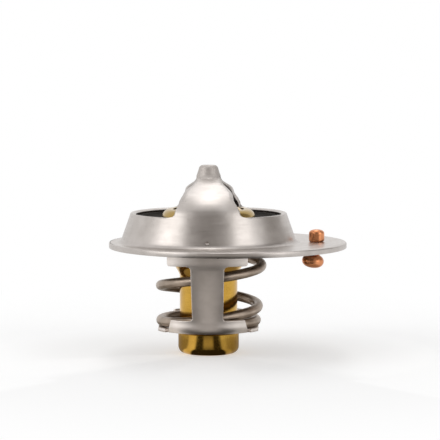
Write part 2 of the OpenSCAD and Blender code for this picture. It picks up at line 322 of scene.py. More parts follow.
def finished_mesh(obj: Piece) -> bpy.types.Mesh:
    """Copies an object with its modifiers, or a curve with its bevel, as a mesh.

    Args:
        obj: The object.

    Returns:
        The new mesh.
    """
    bpy.context.view_layer.update()
    graph = bpy.context.evaluated_depsgraph_get()
    return bpy.data.meshes.new_from_object(obj.evaluated_get(graph))


def applied(obj: Piece) -> Piece:
    """Applies the modifiers of an object to its mesh.

    Args:
        obj: The object.

    Returns:
        The same object, with no modifiers left.
    """
    mesh = finished_mesh(obj)
    obj.modifiers.clear()
    obj.data = mesh
    return obj


def cut_away(obj: Piece, cutters: list[Mesh]) -> None:
    """Cuts solids out of an object.

    Args:
        obj: The object to cut.
        cutters: The solids to take away, which are freed.
    """
    tools = [as_object(cutter, "cutter") for cutter in cutters]
    for tool in tools:
        modifier = obj.modifiers.new("cut", "BOOLEAN")
        modifier.operation = "DIFFERENCE"
        modifier.solver = "EXACT"
        modifier.object = tool
    applied(obj)
    for tool in tools:
        bpy.data.objects.remove(tool)


class Nodes:
    """Builds the node tree of a material, or of the world."""

    def __init__(self, name: str, world_tree: bpy.types.NodeTree | None = None) -> None:
        """Starts an empty material with an output and a surface shader, or empties a world's tree.

        Args:
            name: Name of the material.
            world_tree: The tree to fill instead, where it is a world's.
        """
        self.tree = world_tree
        if world_tree:
            world_tree.nodes.clear()
            self.output = self.add("OutputWorld")
            return
        self.material = bpy.data.materials.new(name)
        self.material.use_nodes = True
        self.tree = self.material.node_tree
        self.tree.nodes.clear()
        self.output = self.add("OutputMaterial")
        self.shader = self.add("BsdfPrincipled")
        self.surface(self.shader.outputs[0])

    def add(self, kind: str, *values: object, **settings: object) -> bpy.types.Node:
        """Adds a node.

        Args:
            kind: The node's type, without its ShaderNode prefix.
            *values: Sockets or constants for its first inputs, in order.
            **settings: Properties to set on it.

        Returns:
            The node.
        """
        node = self.tree.nodes.new("ShaderNode" + kind)
        for key, value in settings.items():
            setattr(node, key, value)
        for socket, value in zip(node.inputs, values):
            self.fill(socket, value)
        return node

    def fill(self, socket: Socket, value: object) -> None:
        """Links a socket into another one, or sets a constant on it.

        Args:
            socket: The socket to fill.
            value: A socket to link into it, or a constant.
        """
        if isinstance(value, Socket):
            self.tree.links.new(value, socket)
        else:
            socket.default_value = value

    def surface(self, shader: Socket) -> None:
        """Makes a shader the one that shows."""
        self.fill(self.output.inputs["Surface"], shader)

    def math(self, operation: str, *values: object) -> Socket:
        """Result of a math node on numbers or sockets."""
        return self.add("Math", *values, operation=operation).outputs[0]

    def length(self, vector: Socket) -> Socket:
        """Length of a vector."""
        return self.add("VectorMath", vector, operation="LENGTH").outputs["Value"]

    def noise(self, vector: Socket, scale: float) -> Socket:
        """Noise of three octaves at a scale, from 0 to 1.

        Args:
            vector: Where to read it.
            scale: Its scale.

        Returns:
            Its value.
        """
        node = self.add("TexNoise", vector)
        node.inputs["Scale"].default_value = scale
        node.inputs["Detail"].default_value = 3
        return node.outputs["Fac"]

    def spread(self, value: Socket, low: float, high: float) -> Socket:
        """Maps the middle of a noise, from 0.3 to 0.7, to a range."""
        return self.add("MapRange", value, 0.3, 0.7, low, high).outputs[0]

    def ramp(self, value: Socket, start: float, end: float) -> Socket:
        """Smooth ramp from 0 at start to 1 at end."""
        return self.add("MapRange", value, start, end, interpolation_type="SMOOTHSTEP").outputs[0]

    def mixed(self, share: Socket, first: Socket | Colour, second: Socket | Colour) -> Socket:
        """Mixes two colours.

        Args:
            share: Share of the second colour.
            first: The first colour.
            second: The second colour.

        Returns:
            The mixed colour.
        """
        node = self.add("Mix", share, data_type="RGBA")
        for socket, colour in ((node.inputs[6], first), (node.inputs[7], second)):
            self.fill(socket, colour if isinstance(colour, Socket) else (*colour, 1))
        return node.outputs[2]

    def blended(self, share: Socket, first: Socket, second: Socket) -> Socket:
        """Mixes two shaders, by the share of the second."""
        return self.add("MixShader", share, first, second).outputs[0]

    def bump(self, height: Socket, depth_mm: float) -> None:
        """Gives the surface shader a bump.

        Args:
            height: The height, from 0 to 1.
            depth_mm: Depth at full height.
        """
        node = self.add("Bump")
        node.inputs["Distance"].default_value = depth_mm * MM
        self.fill(node.inputs["Height"], height)
        self.fill(self.shader.inputs["Normal"], node.outputs[0])

    def object_mm(self) -> Socket:
        """Place on the object in millimetres, measured from the valve's axis.

        Returns:
            The place.
        """
        place = self.add("TexCoord").outputs["Object"]
        centred = self.add("Mapping", place, (-VALVE_AXIS_X, 0, 0))
        centred.inputs["Scale"].default_value = (1 / MM, 1 / MM, 1 / MM)
        return centred.outputs[0]

    def parted(self, place: Socket) -> tuple[Socket, Socket, Socket, Socket]:
        """Takes a place apart.

        Args:
            place: Place on the object.

        Returns:
            Its x, its y, its height, and its place in plan, without the height.
        """
        x, y, z = self.add("SeparateXYZ", place).outputs
        return x, y, z, self.add("CombineXYZ", x, y).outputs[0]

    def round_streaks(self, place: Socket, turns: float, height: float) -> Socket:
        """Coordinates in which a noise becomes streaks that run round the valve's axis.

        Args:
            place: Place on the object in millimetres.
            turns: How often the noise changes round the axis.
            height: How often it changes in a millimetre of height or radius.

        Returns:
            The coordinates, shifted so that no row of the noise lies across the front.
        """
        _, _, z, plan = self.parted(place)
        around = self.add("VectorMath", plan, operation="NORMALIZE").outputs[0]
        scaled = self.add("VectorMath", around, operation="SCALE")
        scaled.inputs["Scale"].default_value = turns
        climb = self.math("MULTIPLY", self.math("SUBTRACT", z, self.length(plan)), height)
        shift = self.add("CombineXYZ", 0.37, 0.23, climb).outputs[0]
        return self.add("VectorMath", scaled.outputs[0], shift, operation="ADD").outputs[0]

    def seen(self) -> Socket:
        """Tells the rays that see the white surroundings from the rest.

        Returns:
            1 for camera, glossy and transmission rays, and 0 for the rest.
        """
        path_kind = self.add("LightPath").outputs
        rays = [path_kind[f"Is {kind} Ray"] for kind in ("Camera", "Glossy", "Transmission")]
        return self.math("MAXIMUM", self.math("MAXIMUM", rays[0], rays[1]), rays[2])


@dataclass(frozen=True)
class Metal:
    """A satin metal with streaks left by drawing or turning, and a faint stain.

    Above a height it can be rougher, and darker by painted shade.
    """

    name: str
    colour: Colour
    stain: Colour
    smoothest: float
    roughest: float
    streak_turns: float
    streaks_per_mm: float
    streak_depth_mm: float
    streak_share: float = 0.7
    grain_per_mm: float = 2.0
    stains_per_mm: float = 0.35
    # Above this height the metal gets rougher and a darker colour, which is painted shade.
    shade_and_dull_above_mm: float = 1000.0
    shade_and_dull_over_mm: float = 2.0
    dull_by: float = 0.0
    painted_shade_colour: Colour = (0.5, 0.5, 0.5)

    def material(self) -> bpy.types.Material:
        """Builds the material.

        Returns:
            The material.
        """
        nodes = Nodes(self.name)
        place = nodes.object_mm()
        streaks = nodes.noise(nodes.round_streaks(place, self.streak_turns, self.streaks_per_mm), 1)
        cloud = nodes.noise(place, self.stains_per_mm)
        grain = nodes.noise(place, self.grain_per_mm)
        height = nodes.add("SeparateXYZ", place).outputs[2]
        # Share of the painted shade and of the extra roughness, rising above a height.
        shade_and_dull = nodes.ramp(height, self.shade_and_dull_above_mm, self.shade_and_dull_above_mm + self.shade_and_dull_over_mm)
        stained = nodes.mixed(nodes.spread(cloud, 0, 1), self.colour, self.stain)
        relief = nodes.math(
            "ADD",
            nodes.math("MULTIPLY", streaks, self.streak_share),
            nodes.math("MULTIPLY", grain, 1 - self.streak_share),
        )
        rough = nodes.spread(relief, self.smoothest, self.roughest)
        sockets = nodes.shader.inputs
        sockets["Metallic"].default_value = 1
        # The darker colour above the height is painted shade.
        nodes.fill(sockets["Base Color"], nodes.mixed(shade_and_dull, stained, self.painted_shade_colour))
        dulled = nodes.math("MULTIPLY", shade_and_dull, self.dull_by)
        nodes.fill(sockets["Roughness"], nodes.math("ADD", rough, dulled))
        nodes.bump(relief, self.streak_depth_mm)
        return nodes.material


@dataclass(frozen=True)
class Matt:
    """Moulded rubber, wax or a plain washer: a colour with a fine grain."""

    name: str
    colour: Colour
    second: Colour
    roughness: float
    grain_per_mm: float
    grain_depth_mm: float
    rough_spread: float = 0.06
    clouds_per_mm: float = 0.5
    see_in: float = 0.0
    shine: float = 0.5

    def material(self) -> bpy.types.Material:
        """Builds the material.

        Returns:
            The material.
        """
        nodes = Nodes(self.name)
        place = nodes.object_mm()
        cloud = nodes.spread(nodes.noise(place, self.clouds_per_mm), 0, 1)
        grain = nodes.noise(place, self.grain_per_mm)
        least, most = self.roughness - self.rough_spread, self.roughness + self.rough_spread
        sockets = nodes.shader.inputs
        sockets["Specular IOR Level"].default_value = self.shine
        sockets["Subsurface Weight"].default_value = self.see_in
        sockets["Subsurface Scale"].default_value = MM
        nodes.fill(sockets["Base Color"], nodes.mixed(cloud, self.colour, self.second))
        nodes.fill(sockets["Roughness"], nodes.spread(grain, least, most))
        nodes.bump(grain, self.grain_depth_mm)
        return nodes.material


# On the nose, above 13.8 mm, the sheet is rougher and painted darker: painted shade.
STEEL_SHEET = Metal(
    "stainless_sheet", colour=(0.53, 0.49, 0.462), stain=(0.455, 0.418, 0.39), smoothest=0.27,
    roughest=0.41, streak_turns=2.5, streaks_per_mm=2.2, streak_depth_mm=0.008,
    shade_and_dull_above_mm=13.8, dull_by=0.25, painted_shade_colour=(0.49, 0.453, 0.425),
)
STEEL_FRAME = Metal(
    "stainless_frame", colour=(0.79, 0.73, 0.69), stain=(0.70, 0.645, 0.60), smoothest=0.40,
    roughest=0.52, streak_turns=3.0, streaks_per_mm=1.5, streak_depth_mm=0.010,
)
STEEL_PLATE = Metal(
    "stainless_plate", colour=(0.52, 0.50, 0.48), stain=(0.46, 0.44, 0.42), smoothest=0.26,
    roughest=0.40, streak_turns=2.0, streaks_per_mm=4.0, streak_depth_mm=0.006,
)
SPRING_WIRE = Metal(
    "spring_wire", colour=(0.45, 0.37, 0.30), stain=(0.30, 0.24, 0.19), smoothest=0.28,
    roughest=0.46, streak_turns=6.0, streaks_per_mm=5.0, streak_depth_mm=0.012,
)
POLISHED_PIN = Metal(
    "polished_pin", colour=(0.62, 0.62, 0.62), stain=(0.58, 0.58, 0.58), smoothest=0.08,
    roughest=0.14, streak_turns=1.0, streaks_per_mm=9.0, streak_depth_mm=0.002,
)
# On the collar, above 3 mm, the brass is rougher and painted darker: painted shade on its upper faces.
DRAWN_BRASS = Metal(
    "yellow_brass", colour=(0.64, 0.385, 0.07), stain=(0.50, 0.285, 0.05), smoothest=0.11,
    roughest=0.20, streak_turns=1.5, streaks_per_mm=6.0, streak_depth_mm=0.003,
    shade_and_dull_above_mm=3.0, dull_by=0.08, painted_shade_colour=(0.40, 0.27, 0.085),
)
TURNED_BRASS = Metal(
    "turned_brass", colour=(0.70, 0.46, 0.14), stain=(0.60, 0.38, 0.11), smoothest=0.16,
    roughest=0.28, streak_turns=0.6, streaks_per_mm=9.0, streak_depth_mm=0.006,
)
COPPER_WIRE = Metal(
    "copper_pin", colour=(0.78, 0.33, 0.155), stain=(0.56, 0.225, 0.10), smoothest=0.22,
    roughest=0.42, streak_turns=2.0, streaks_per_mm=2.0, streak_depth_mm=0.02,
)
BLACK_RUBBER = Matt(
    "black_rubber", colour=(0.017, 0.013, 0.010), second=(0.025, 0.020, 0.016), roughness=0.8,
    grain_per_mm=6, grain_depth_mm=0.01, shine=0.12,
)
BOOT_RUBBER = Matt(
    "boot_rubber", colour=(0.02, 0.02, 0.02), second=(0.03, 0.03, 0.03), roughness=0.6,
    grain_per_mm=6, grain_depth_mm=0.01,
)
WHITE_WASHER = Matt(
    "white_washer", colour=(0.80, 0.80, 0.77), second=(0.76, 0.76, 0.73), roughness=0.35,
    grain_per_mm=5, grain_depth_mm=0.004,
)
WAX = Matt(
    "wax", colour=(0.72, 0.62, 0.40), second=(0.64, 0.53, 0.33), roughness=0.45,
    grain_per_mm=3, grain_depth_mm=0.02, see_in=0.3,
)


@dataclass
class Assembly:
    """What every sub-assembly shares: finishing a piece and hanging it on its body."""

    def place(
        self, obj: Piece, body: Body, node: str, finish: Metal | Matt, sharp_deg: float = 32
    ) -> Piece:
        """Moves a piece to the valve's axis, dresses it and lets it stand for its node.

        Args:
            obj: The piece, in millimetres about the valve's axis.
            body: The body it rides on.
            node: The node it replaces.
            finish: Its finish.
            sharp_deg: Angle above which an edge is shaded as sharp.

        Returns:
            The piece.
        """
        mesh = obj.data
        mesh.transform(Matrix.Scale(MM, 4) @ Matrix.Translation((VALVE_AXIS_X, 0, 0)))
        mesh.materials.clear()
        mesh.materials.append(finish.material())
        mesh.polygons.foreach_set("material_index", [0] * len(mesh.polygons))
        mesh.shade_smooth()
        mesh.set_sharp_from_angle(angle=math.radians(sharp_deg))
        mesh.update()
        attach(obj, body.value)
        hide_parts(node)
        faces = len(mesh.polygons)
        log.info("%s: %d faces, rides on %s, stands for %s", obj.name, faces, body.value, node)
        return obj

    def place_turned(
        self, name: str, section: list[Vector], steps: int, node: str, finish: Metal | Matt,
        body: Body = Body.VALVE,
    ) -> None:
        """Turns a half section about the valve's axis and places the solid.

        Args:
            name: Name of the piece.
            section: Its half section.
            steps: Steps in the full turn.
            node: The node it replaces.
            finish: Its finish.
            body: The body it rides on.
        """
        self.place(as_object(turned(section, steps), name), body, node, finish)

    def bevel_between(self, obj: Piece, side: Mark, width: float, segments: int) -> None:
        """Rounds the edges of a thickened sheet on one side.

        Args:
            obj: The sheet, whose faces carry their marks as material indices.
            side: The side of the sheet.
            width: Width of the rounding in millimetres.
            segments: Faces across the rounding.
        """
        bm = bmesh.new()
        bm.from_mesh(obj.data)
        marks = {side.value, Mark.EDGE.value}
        edges = [e for e in bm.edges if len(e.link_faces) == 2]
        edges = [e for e in edges if {f.material_index for f in e.link_faces} == marks]
        bevelled(bm, edges, width, segments, slide=True)
        bm.to_mesh(obj.data)
        bm.free()

    def thickened(self, obj: Piece, thickness: float, thin_share: str = "") -> None:
        """Gives a sheet its thickness, inwards, and marks its faces.

        Args:
            obj: The sheet's outer face.
            thickness: Thickness in millimetres.
            thin_share: Name of a vertex group that holds each point's share of it.
        """
        for _ in Mark:
            obj.data.materials.append(None)
        modifier = obj.modifiers.new("sheet", "SOLIDIFY")
        modifier.thickness = thickness
        modifier.offset = -1
        modifier.use_even_offset = True
        modifier.material_offset = Mark.INSIDE.value
        modifier.material_offset_rim = Mark.EDGE.value
        if thin_share:
            modifier.vertex_group = thin_share
        applied(obj)

    def facing(self, bm: Mesh, way: Vector, probe: Vector) -> None:
        """Welds a sheet's patches and turns its faces to the right side.

        Args:
            bm: The sheet.
            way: Direction that the face nearest the probe has to face.
            probe: A point near that face.
        """
        bmesh.ops.remove_doubles(bm, verts=bm.verts, dist=WELD)
        bmesh.ops.dissolve_degenerate(bm, edges=bm.edges, dist=WELD)
        bmesh.ops.recalc_face_normals(bm, faces=bm.faces)
        nearest = min(bm.faces, key=lambda f: (f.calc_center_median() - probe).length)
        if nearest.normal.dot(way) < 0:
            bmesh.ops.reverse_faces(bm, faces=bm.faces)


@dataclass
class Housing(Assembly):
    """The drawn sheet: round flange, cone, and the windowed bridge with its nose.

    The edges of the bridge roll in and out over shares of the way down an arm.
    """

    flange_r: float = 26.0
    sheet_t: float = 1.2
    cone_base_r: float = 19.3
    cone_rim_r: float = 17.0
    rim_h: float = 7.7
    base_fillet: float = 1.0
    nose_h: float = 18.0
    nose_r: float = 2.2
    nose_t: float = 0.8
    nose_round: float = 0.9
    neck_flare: float = 1.25
    neck_h: float = 2.95
    crown_r: float = 11.1
    crown_h: float = 12.6
    leg_bow: float = 4.0
    shoulder_drop: float = 1.25
    waist_w: float = 2.65
    crown_w: float = 5.4
    shin_w: float = 5.8
    root_w: float = 7.0
    root_fillet: float = 1.2
    edge_roll: float = 0.35
    edge_roll_w: float = 1.1
    roll_starts: Pair = (0.02, 0.16)
    roll_ends: Pair = (0.62, 0.86)
    row_easing: float = 0.1
    punched_edge: float = 0.3
    inner_edge: float = 0.12
    vent_x: float = 19.2
    vent_hole_r: float = 1.25
    stake_r: float = 0.5
    stake_depth: float = 0.35
    stake_z: float = 2.5
    strap_columns: int = 48
    side_columns: int = 60
    nose_rows: int = 34
    strap_rows: int = 120
    cone_rows: int = 26
    flange_rows: int = 6
    line: Line = field(init=False)
    waist_at: float = field(init=False)
    rim_at: float = field(init=False)

    def __post_init__(self) -> None:
        """Works out the outer line and where the bridge starts and ends on it."""
        self.line = self.outer_line()
        self.waist_at = self.line.distance_where(lambda p: p.x >= self.waist_w)
        self.rim_at = self.line.distance_where(lambda p: p.x > 2 * self.waist_w and p.y <= self.rim_h)

    def cone_out(self, z: float) -> float:
        """Outer radius of the cone at a height."""
        slope = (self.cone_base_r - self.cone_rim_r) / (self.rim_h - self.sheet_t)
        return self.cone_base_r - slope * (z - self.sheet_t)

    def outer_line(self) -> Line:
        """Outer line of the sheet, from the top of the nose to the flange.

        Returns:
            The line. Its curves' handles are shares of the rounding, flare or fillet there.
        """
        r, h, edge = self.nose_r, self.nose_h, self.nose_round
        flare, fillet, seat = self.neck_flare, self.base_fillet, self.sheet_t
        top = arc((r - 1.07 * edge, h - edge), edge, 82, 10, 10)
        neck = bezier(
            (r, h - 1.15 * edge),
            (r + 0.2 * flare, h - 0.61 * self.neck_h),
            (r + 0.36 * flare, h - 0.915 * self.neck_h),
            (r + flare, h - self.neck_h),
            20,
        )
        bend_h = 1.26 * self.rim_h
        shoulder = bezier(
            (self.crown_r, self.crown_h),
            (self.crown_r + self.leg_bow, self.crown_h - self.shoulder_drop),
            (self.cone_out(bend_h), bend_h),
            (self.cone_out(self.rim_h), self.rim_h),
            40,
        )
        foot_z = seat + 1.1 * fillet
        foot = bezier(
            (self.cone_out(foot_z), foot_z),
            (self.cone_out(seat + 0.5 * fillet), seat + 0.35 * fillet),
            (self.cone_base_r + 0.35 * fillet, seat),
            (self.cone_base_r + fillet, seat),
            12,
        )
        end = path((self.cone_base_r + 1.3 * fillet, seat))
        return Line([*path((0, h)), *top, *neck, *shoulder, *foot, *end])

    def strap_plan(self, y: float) -> float:
        """Half-width of the bridge in plan, cut by the windows, at a distance from the axis.

        Args:
            y: Distance from the axis along the bridge.

        Returns:
            The half-width.
        """
        crown_y, shin_y = 0.87 * self.crown_r, 1.21 * self.crown_r
        if y >= crown_y:
            share = min(1.0, (y - crown_y) / (shin_y - crown_y))
            return self.crown_w + (self.shin_w - self.crown_w) * share
        side = bezier(
            (self.waist_w, 0),
            (self.waist_w, 0.45 * self.crown_r),
            (0.89 * self.crown_w, 0.54 * self.crown_r),
            (self.crown_w, crown_y),
            24,
        )
        before, after = next(((a, b) for a, b in zip(side, side[1:]) if b.y >= y), (side[-2], side[-1]))
        share = (y - before.y) / max(TINY, after.y - before.y)
        return before.x + (after.x - before.x) * share

    def strap_front(self, z: float) -> float:
        """Half-width of the bridge seen from the front, cut by the windows, at a height.

        Args:
            z: Height above the flange's underside.

        Returns:
            The half-width, or 0 above the windows.
        """
        root_top = self.rim_h + self.root_fillet
        shin_z = self.crown_h - 1.1 * self.sheet_t
        if z > shin_z:
            return 0.0
        if z < root_top:
            fall = min(self.root_fillet, root_top - z)
            return self.root_w + self.root_fillet - math.sqrt(self.root_fillet**2 - fall**2)
        share = min(1.0, (z - root_top) / (shin_z - root_top))
        return self.root_w + (self.shin_w - self.root_w) * share

    def strap_half_angle(self, point: Vector) -> float:
        """Half the angle that the bridge covers at a point of the outer line.

        Args:
            point: Radius and height.

        Returns:
            The angle in radians, found by steps that close in on it.
        """
        angle = 0.0
        for _ in range(12):
            width = max(self.strap_plan(point.x * math.cos(angle)), self.strap_front(point.y))
            angle = math.asin(min(1.0, width / point.x))
        return angle

    def strap_point(self, side: int, across: float, along: float) -> Vector:
        """Point on one arm of the bridge.

        Args:
            side: -1 for the front arm and 1 for the back one.
            across: Share across the arm, from 0 to 1.
            along: Share along it, from the nose to the rim.

        Returns:
            The point.
        """
        eased = along + self.row_easing * math.sin(math.pi * along) ** 2
        point = self.line.at(self.waist_at + (self.rim_at - self.waist_at) * eased)
        half = self.strap_half_angle(point)
        t = 2 * across - 1
        width = half * point.x
        rolled = max(0.0, abs(t) * width - (width - self.edge_roll_w)) / self.edge_roll_w
        fade = smooth_step(along, *self.roll_starts) * (1 - smooth_step(along, *self.roll_ends))
        drop = self.edge_roll * rolled**2 * fade
        angle = t * half
        x = point.x * math.sin(angle)
        y = side * point.x * math.cos(angle)
        return Vector((x, y, point.y - drop))

    def nose_point(self, around: float, down: float) -> Vector:
        """Point on the nose.

        Args:
            around: Share round the nose, from its left side.
            down: Share down the outer line, from the top to where the arms begin.

        Returns:
            The point.
        """
        point = self.line.at(self.waist_at * down)
        angle = TAU * around - math.pi / 2
        return Vector((point.x * math.sin(angle), -point.x * math.cos(angle), point.y))

    def ring_angles(self) -> list[float]:
        """Angles of the ring's columns, from the middle of the front arm all the way round.

        Returns:
            The angles.
        """
        root = self.strap_half_angle(self.line.at(self.rim_at))
        arm = [root * (2 * i / self.strap_columns - 1) for i in range(self.strap_columns + 1)]
        gap = [root + (math.pi - 2 * root) * i / self.side_columns for i in range(1, self.side_columns)]
        half_turn = arm + gap
        return [a + turn for turn in (0.0, math.pi) for a in half_turn] + [half_turn[0] + TAU]

    def ring_point(self, angles: list[float], across: float, distance: float) -> Vector:
        """Point on the full ring below the rim, flange included.

        Args:
            angles: Angles of the columns.
            across: Share round the ring.
            distance: Distance along the outer line; past its end, the share of the way to the
                flange's edge is added to it.

        Returns:
            The point.
        """
        angle = angles[round(across * (len(angles) - 1))]
        way = Vector((math.sin(angle), -math.cos(angle), 0))
        point = self.line.at(distance)
        radius = point.x
        past = max(0.0, distance - self.line.length)
        if past > 0:
            offset = -VALVE_AXIS_X
            edge = offset * way.x + math.sqrt(self.flange_r**2 - (offset * way.y) ** 2)
            radius += (edge - radius) * past
        return way * radius + Vector((0, 0, point.y))

    def sheet(self) -> Piece:
        """Makes the outer face of the drawn sheet.

        Returns:
            The face, as an object.
        """
        bm = bmesh.new()
        patch(bm, 2 * self.strap_columns, self.nose_rows, self.nose_point)
        for side in (-1, 1):
            patch(bm, self.strap_columns, self.strap_rows, lambda u, v: self.strap_point(side, u, v))
        angles = self.ring_angles()
        columns, rim, end = len(angles) - 1, self.rim_at, self.line.length
        cone = end - rim
        patch(bm, columns, self.cone_rows, lambda u, v: self.ring_point(angles, u, rim + cone * v))
        patch(bm, columns, self.flange_rows, lambda u, v: self.ring_point(angles, u, end + v))
        self.facing(bm, Vector((0, 0, 1)), Vector((self.flange_r - 3, 0, self.sheet_t)))
        return as_object(bm, "pressed_housing")

    def cutters(self) -> list[Mesh]:
        """Makes what is cut from the sheet: the vent pin's hole and the two small stake marks.

        Returns:
            The solids to take away.
        """
        hole = bmesh.new()
        bmesh.ops.create_cone(
            hole, cap_ends=True, segments=64, radius1=self.vent_hole_r, radius2=self.vent_hole_r, depth=4
        )
        bmesh.ops.translate(hole, verts=hole.verts, vec=(self.vent_x - VALVE_AXIS_X, 0, 0))
        made = [hole]
        for side in (-1, 1):
            mark = bmesh.new()
            bmesh.ops.create_uvsphere(mark, u_segments=32, v_segments=16, radius=self.stake_r)
            reach = side * (self.cone_out(self.stake_z) + self.stake_r - self.stake_depth)
            bmesh.ops.translate(mark, verts=mark.verts, vec=(0, reach, self.stake_z))
            made.append(mark)
        return made

    def build(self) -> None:
        """Makes the housing and dresses it."""
        obj = self.sheet()
        group = obj.vertex_groups.new(name="thickness")
        thin = self.nose_t / self.sheet_t
        for vert in obj.data.vertices:
            share = 1 - (1 - thin) * smooth_step(vert.co.z, self.rim_h, self.crown_h)
            group.add([vert.index], share, "REPLACE")
        self.thickened(obj, self.sheet_t, group.name)
        self.bevel_between(obj, Mark.OUTSIDE, self.punched_edge, 4)
        self.bevel_between(obj, Mark.INSIDE, self.inner_edge, 2)
        cut_away(obj, self.cutters())
        self.place(obj, Body.HOUSING, "flange_housing", STEEL_SHEET)


@dataclass
class Stirrup(Assembly):
    """The lower frame: two bands inside the cone, two legs and the foot under the spring."""

    sheet_t: float = 0.8
    band_top: float = 3.0
    band_foot: float = -2.7
    band_w: float = 8.67
    band_corner: float = 0.6
    band_r: float = 17.63
    leg_w: float = 3.35
    leg_top_w: float = 3.6
    leg_bend: float = 0.9
    foot_z: float = -17.9
    foot_wall_h: float = 3.0
    foot_r: float = 12.6
    foot_bend: float = 1.6
    foot_wall_w: float = 8.05
    foot_wall_base_w: float = 8.6
    foot_flare: float = 0.6
    plate_w: float = 10.9
    plate_lip: float = 0.9
    hole_r: float = 7.01
    bend_r: float = 0.5
    edge: float = 0.14
    centre_columns: int = 16
    wing_columns: int = 12
    side_columns: int = 20
    plate_rows: int = 6
    lip_rows: int = 2
    line: Line = field(init=False)

    def __post_init__(self) -> None:
        """Works out the outer line of the frame."""
        self.line = self.outer_line()

    @property
    def wall_top(self) -> float:
        """Height of the foot walls' upper edge."""
        return self.foot_z + self.foot_wall_h

    @property
    def ring_r(self) -> float:
        """Radius at which the foot plate starts to bend up."""
        return self.foot_r - self.foot_bend

    def outer_line(self) -> Line:
        """Outer line from the top of a band, down the leg to the start of the foot plate.

        Returns:
            The line.
        """
        bend_z = self.foot_z + self.foot_bend
        corners = path(
            (self.band_r - 0.32, self.band_top),
            (self.band_r, self.band_top - 1.1),
            (self.band_r, self.band_foot + 0.4),
            (self.band_r - 0.25, self.band_foot - 0.7),
            (self.foot_r + 0.3, self.wall_top + 0.7),
            (self.foot_r, self.wall_top - 0.3),
            (self.foot_r, bend_z),
        )
        line = rounded(corners, self.bend_r, closed=False, count=6)
        return Line(line[:-1] + arc((self.ring_r, bend_z), self.foot_bend, 0, -90, 10))

    def centre_w(self, z: float) -> float:
        """Half-width of the middle stretch, which is the leg between its two flared ends.

        Args:
            z: Height of the place.

        Returns:
            The half-width.
        """
        leg_start = self.band_foot - self.leg_bend
        leg_end = self.wall_top + self.foot_flare
        if z >= self.band_foot:
            return self.leg_top_w + self.leg_bend
        if z > leg_start:
            fall = z - leg_start
            return self.leg_top_w + self.leg_bend - math.sqrt(max(0.0, self.leg_bend**2 - fall**2))
        if z > leg_end:
            share = (z - leg_end) / (leg_start - leg_end)
            return self.leg_w + (self.leg_top_w - self.leg_w) * share
        if z > self.wall_top:
            fall = leg_end - z
            return self.leg_w + self.foot_flare - math.sqrt(max(0.0, self.foot_flare**2 - fall**2))
        return self.leg_w + self.foot_flare

    def wing_w(self, z: float) -> float:
        """Half-width of a band or of a foot wall.

        Args:
            z: Height of the place.

        Returns:
            The half-width.
        """
        if z >= self.band_foot - WELD:
            rise = min(self.band_corner, z - self.band_foot)
            inset = self.band_corner - math.sqrt(max(0.0, 2 * self.band_corner * rise - rise**2))
            return self.band_w - inset
        foot_top = self.foot_z + self.sheet_t
        share = min(1.0, max(0.0, (z - foot_top) / (self.wall_top - foot_top)))
        return self.foot_wall_base_w + (self.foot_wall_w - self.foot_wall_base_w) * share

    def centre_point(self, side: int, across: float, distance: float) -> Vector:
        """Point of the middle stretch.

        Args:
            side: -1 for the front and 1 for the back.
            across: Share across the stretch.
            distance: Distance down the outer line.

        Returns:
            The point.
        """
        point = self.line.at(distance)
        x = (2 * across - 1) * self.centre_w(point.y)
        return Vector((x, side * math.sqrt(max(0.0, point.x**2 - x * x)), point.y))

    def wing_point(self, side: int, hand: int, out: float, distance: float) -> Vector:
        """Point of a band or foot wall, beside the middle stretch.

        Args:
            side: -1 for the front and 1 for the back.
            hand: -1 for the left and 1 for the right.
            out: Share of the way from the middle stretch to the end.
            distance: Distance down the outer line.

        Returns:
            The point.
        """
        point = self.line.at(distance)
        inner, outer = self.centre_w(point.y), self.wing_w(point.y)
        x = hand * (inner + (outer - inner) * out)
        return Vector((x, side * math.sqrt(max(0.0, point.x**2 - x * x)), point.y))

    def half(self, bm: Mesh, side: int) -> None:
        """Adds one band, leg and foot wall.

        Args:
            bm: The mesh to add to.
            side: -1 for the front and 1 for the back.
        """
        heights = (
            self.band_foot + self.band_corner,
            self.band_foot,
            self.band_foot - self.leg_bend,
            self.wall_top + self.foot_flare,
            self.wall_top,
        )
        marks = [0.0]
        for height in heights:
            marks.append(self.line.distance_where(lambda p: p.y <= height))
        marks.append(self.line.length)
        stretches = list(zip(marks, marks[1:], (12, 8, 8, 30, 8, 18)))
        for a, b, rows in stretches:
            patch(
                bm, self.centre_columns, rows,
                lambda u, v: self.centre_point(side, u, a + (b - a) * v),
            )
        for hand in (-1, 1):
            for a, b, rows in (*stretches[:2], stretches[-1]):
                patch(
                    bm, self.wing_columns, rows,
                    lambda u, v: self.wing_point(side, hand, u, a + (b - a) * v),
                )

    def plate_angles(self) -> tuple[list[float], list[bool]]:
        """Angles of the foot plate's columns, and which of them lie beside a wall.

        Returns:
            The angles all the way round, and for each column whether it is free of the walls.
        """
        inner = math.asin((self.leg_w + self.foot_flare) / self.ring_r)
        outer = math.asin(self.foot_wall_base_w / self.ring_r)
        angles: list[float] = []
        free: list[bool] = []
        for turn in (0.0, math.pi):
            for start, stop, count, is_free in (
                (-outer, -inner, self.wing_columns, False),
                (-inner, inner, self.centre_columns, False),
                (inner, outer, self.wing_columns, False),
                (outer, math.pi - outer, self.side_columns, True),
            ):
                low, high = self.ring_r * math.sin(start), self.ring_r * math.sin(stop)
                for i in range(count):
                    share = i / count
                    even = start + (stop - start) * share
                    below_wall = math.asin((low + (high - low) * share) / self.ring_r)
                    angles.append(turn + (even if is_free else below_wall))
                    free.append(is_free)
        angles.append(angles[0] + TAU)
        free.append(False)
        return angles, free

    def plate_point(self, angle: float, inwards: float) -> Vector:
        """Point of the foot plate, by its angle and its share of the way in to the hole."""
        radius = self.ring_r + (self.hole_r - self.ring_r) * inwards
        return Vector((math.sin(angle), -math.cos(angle), 0)) * radius + Vector((0, 0, self.foot_z))

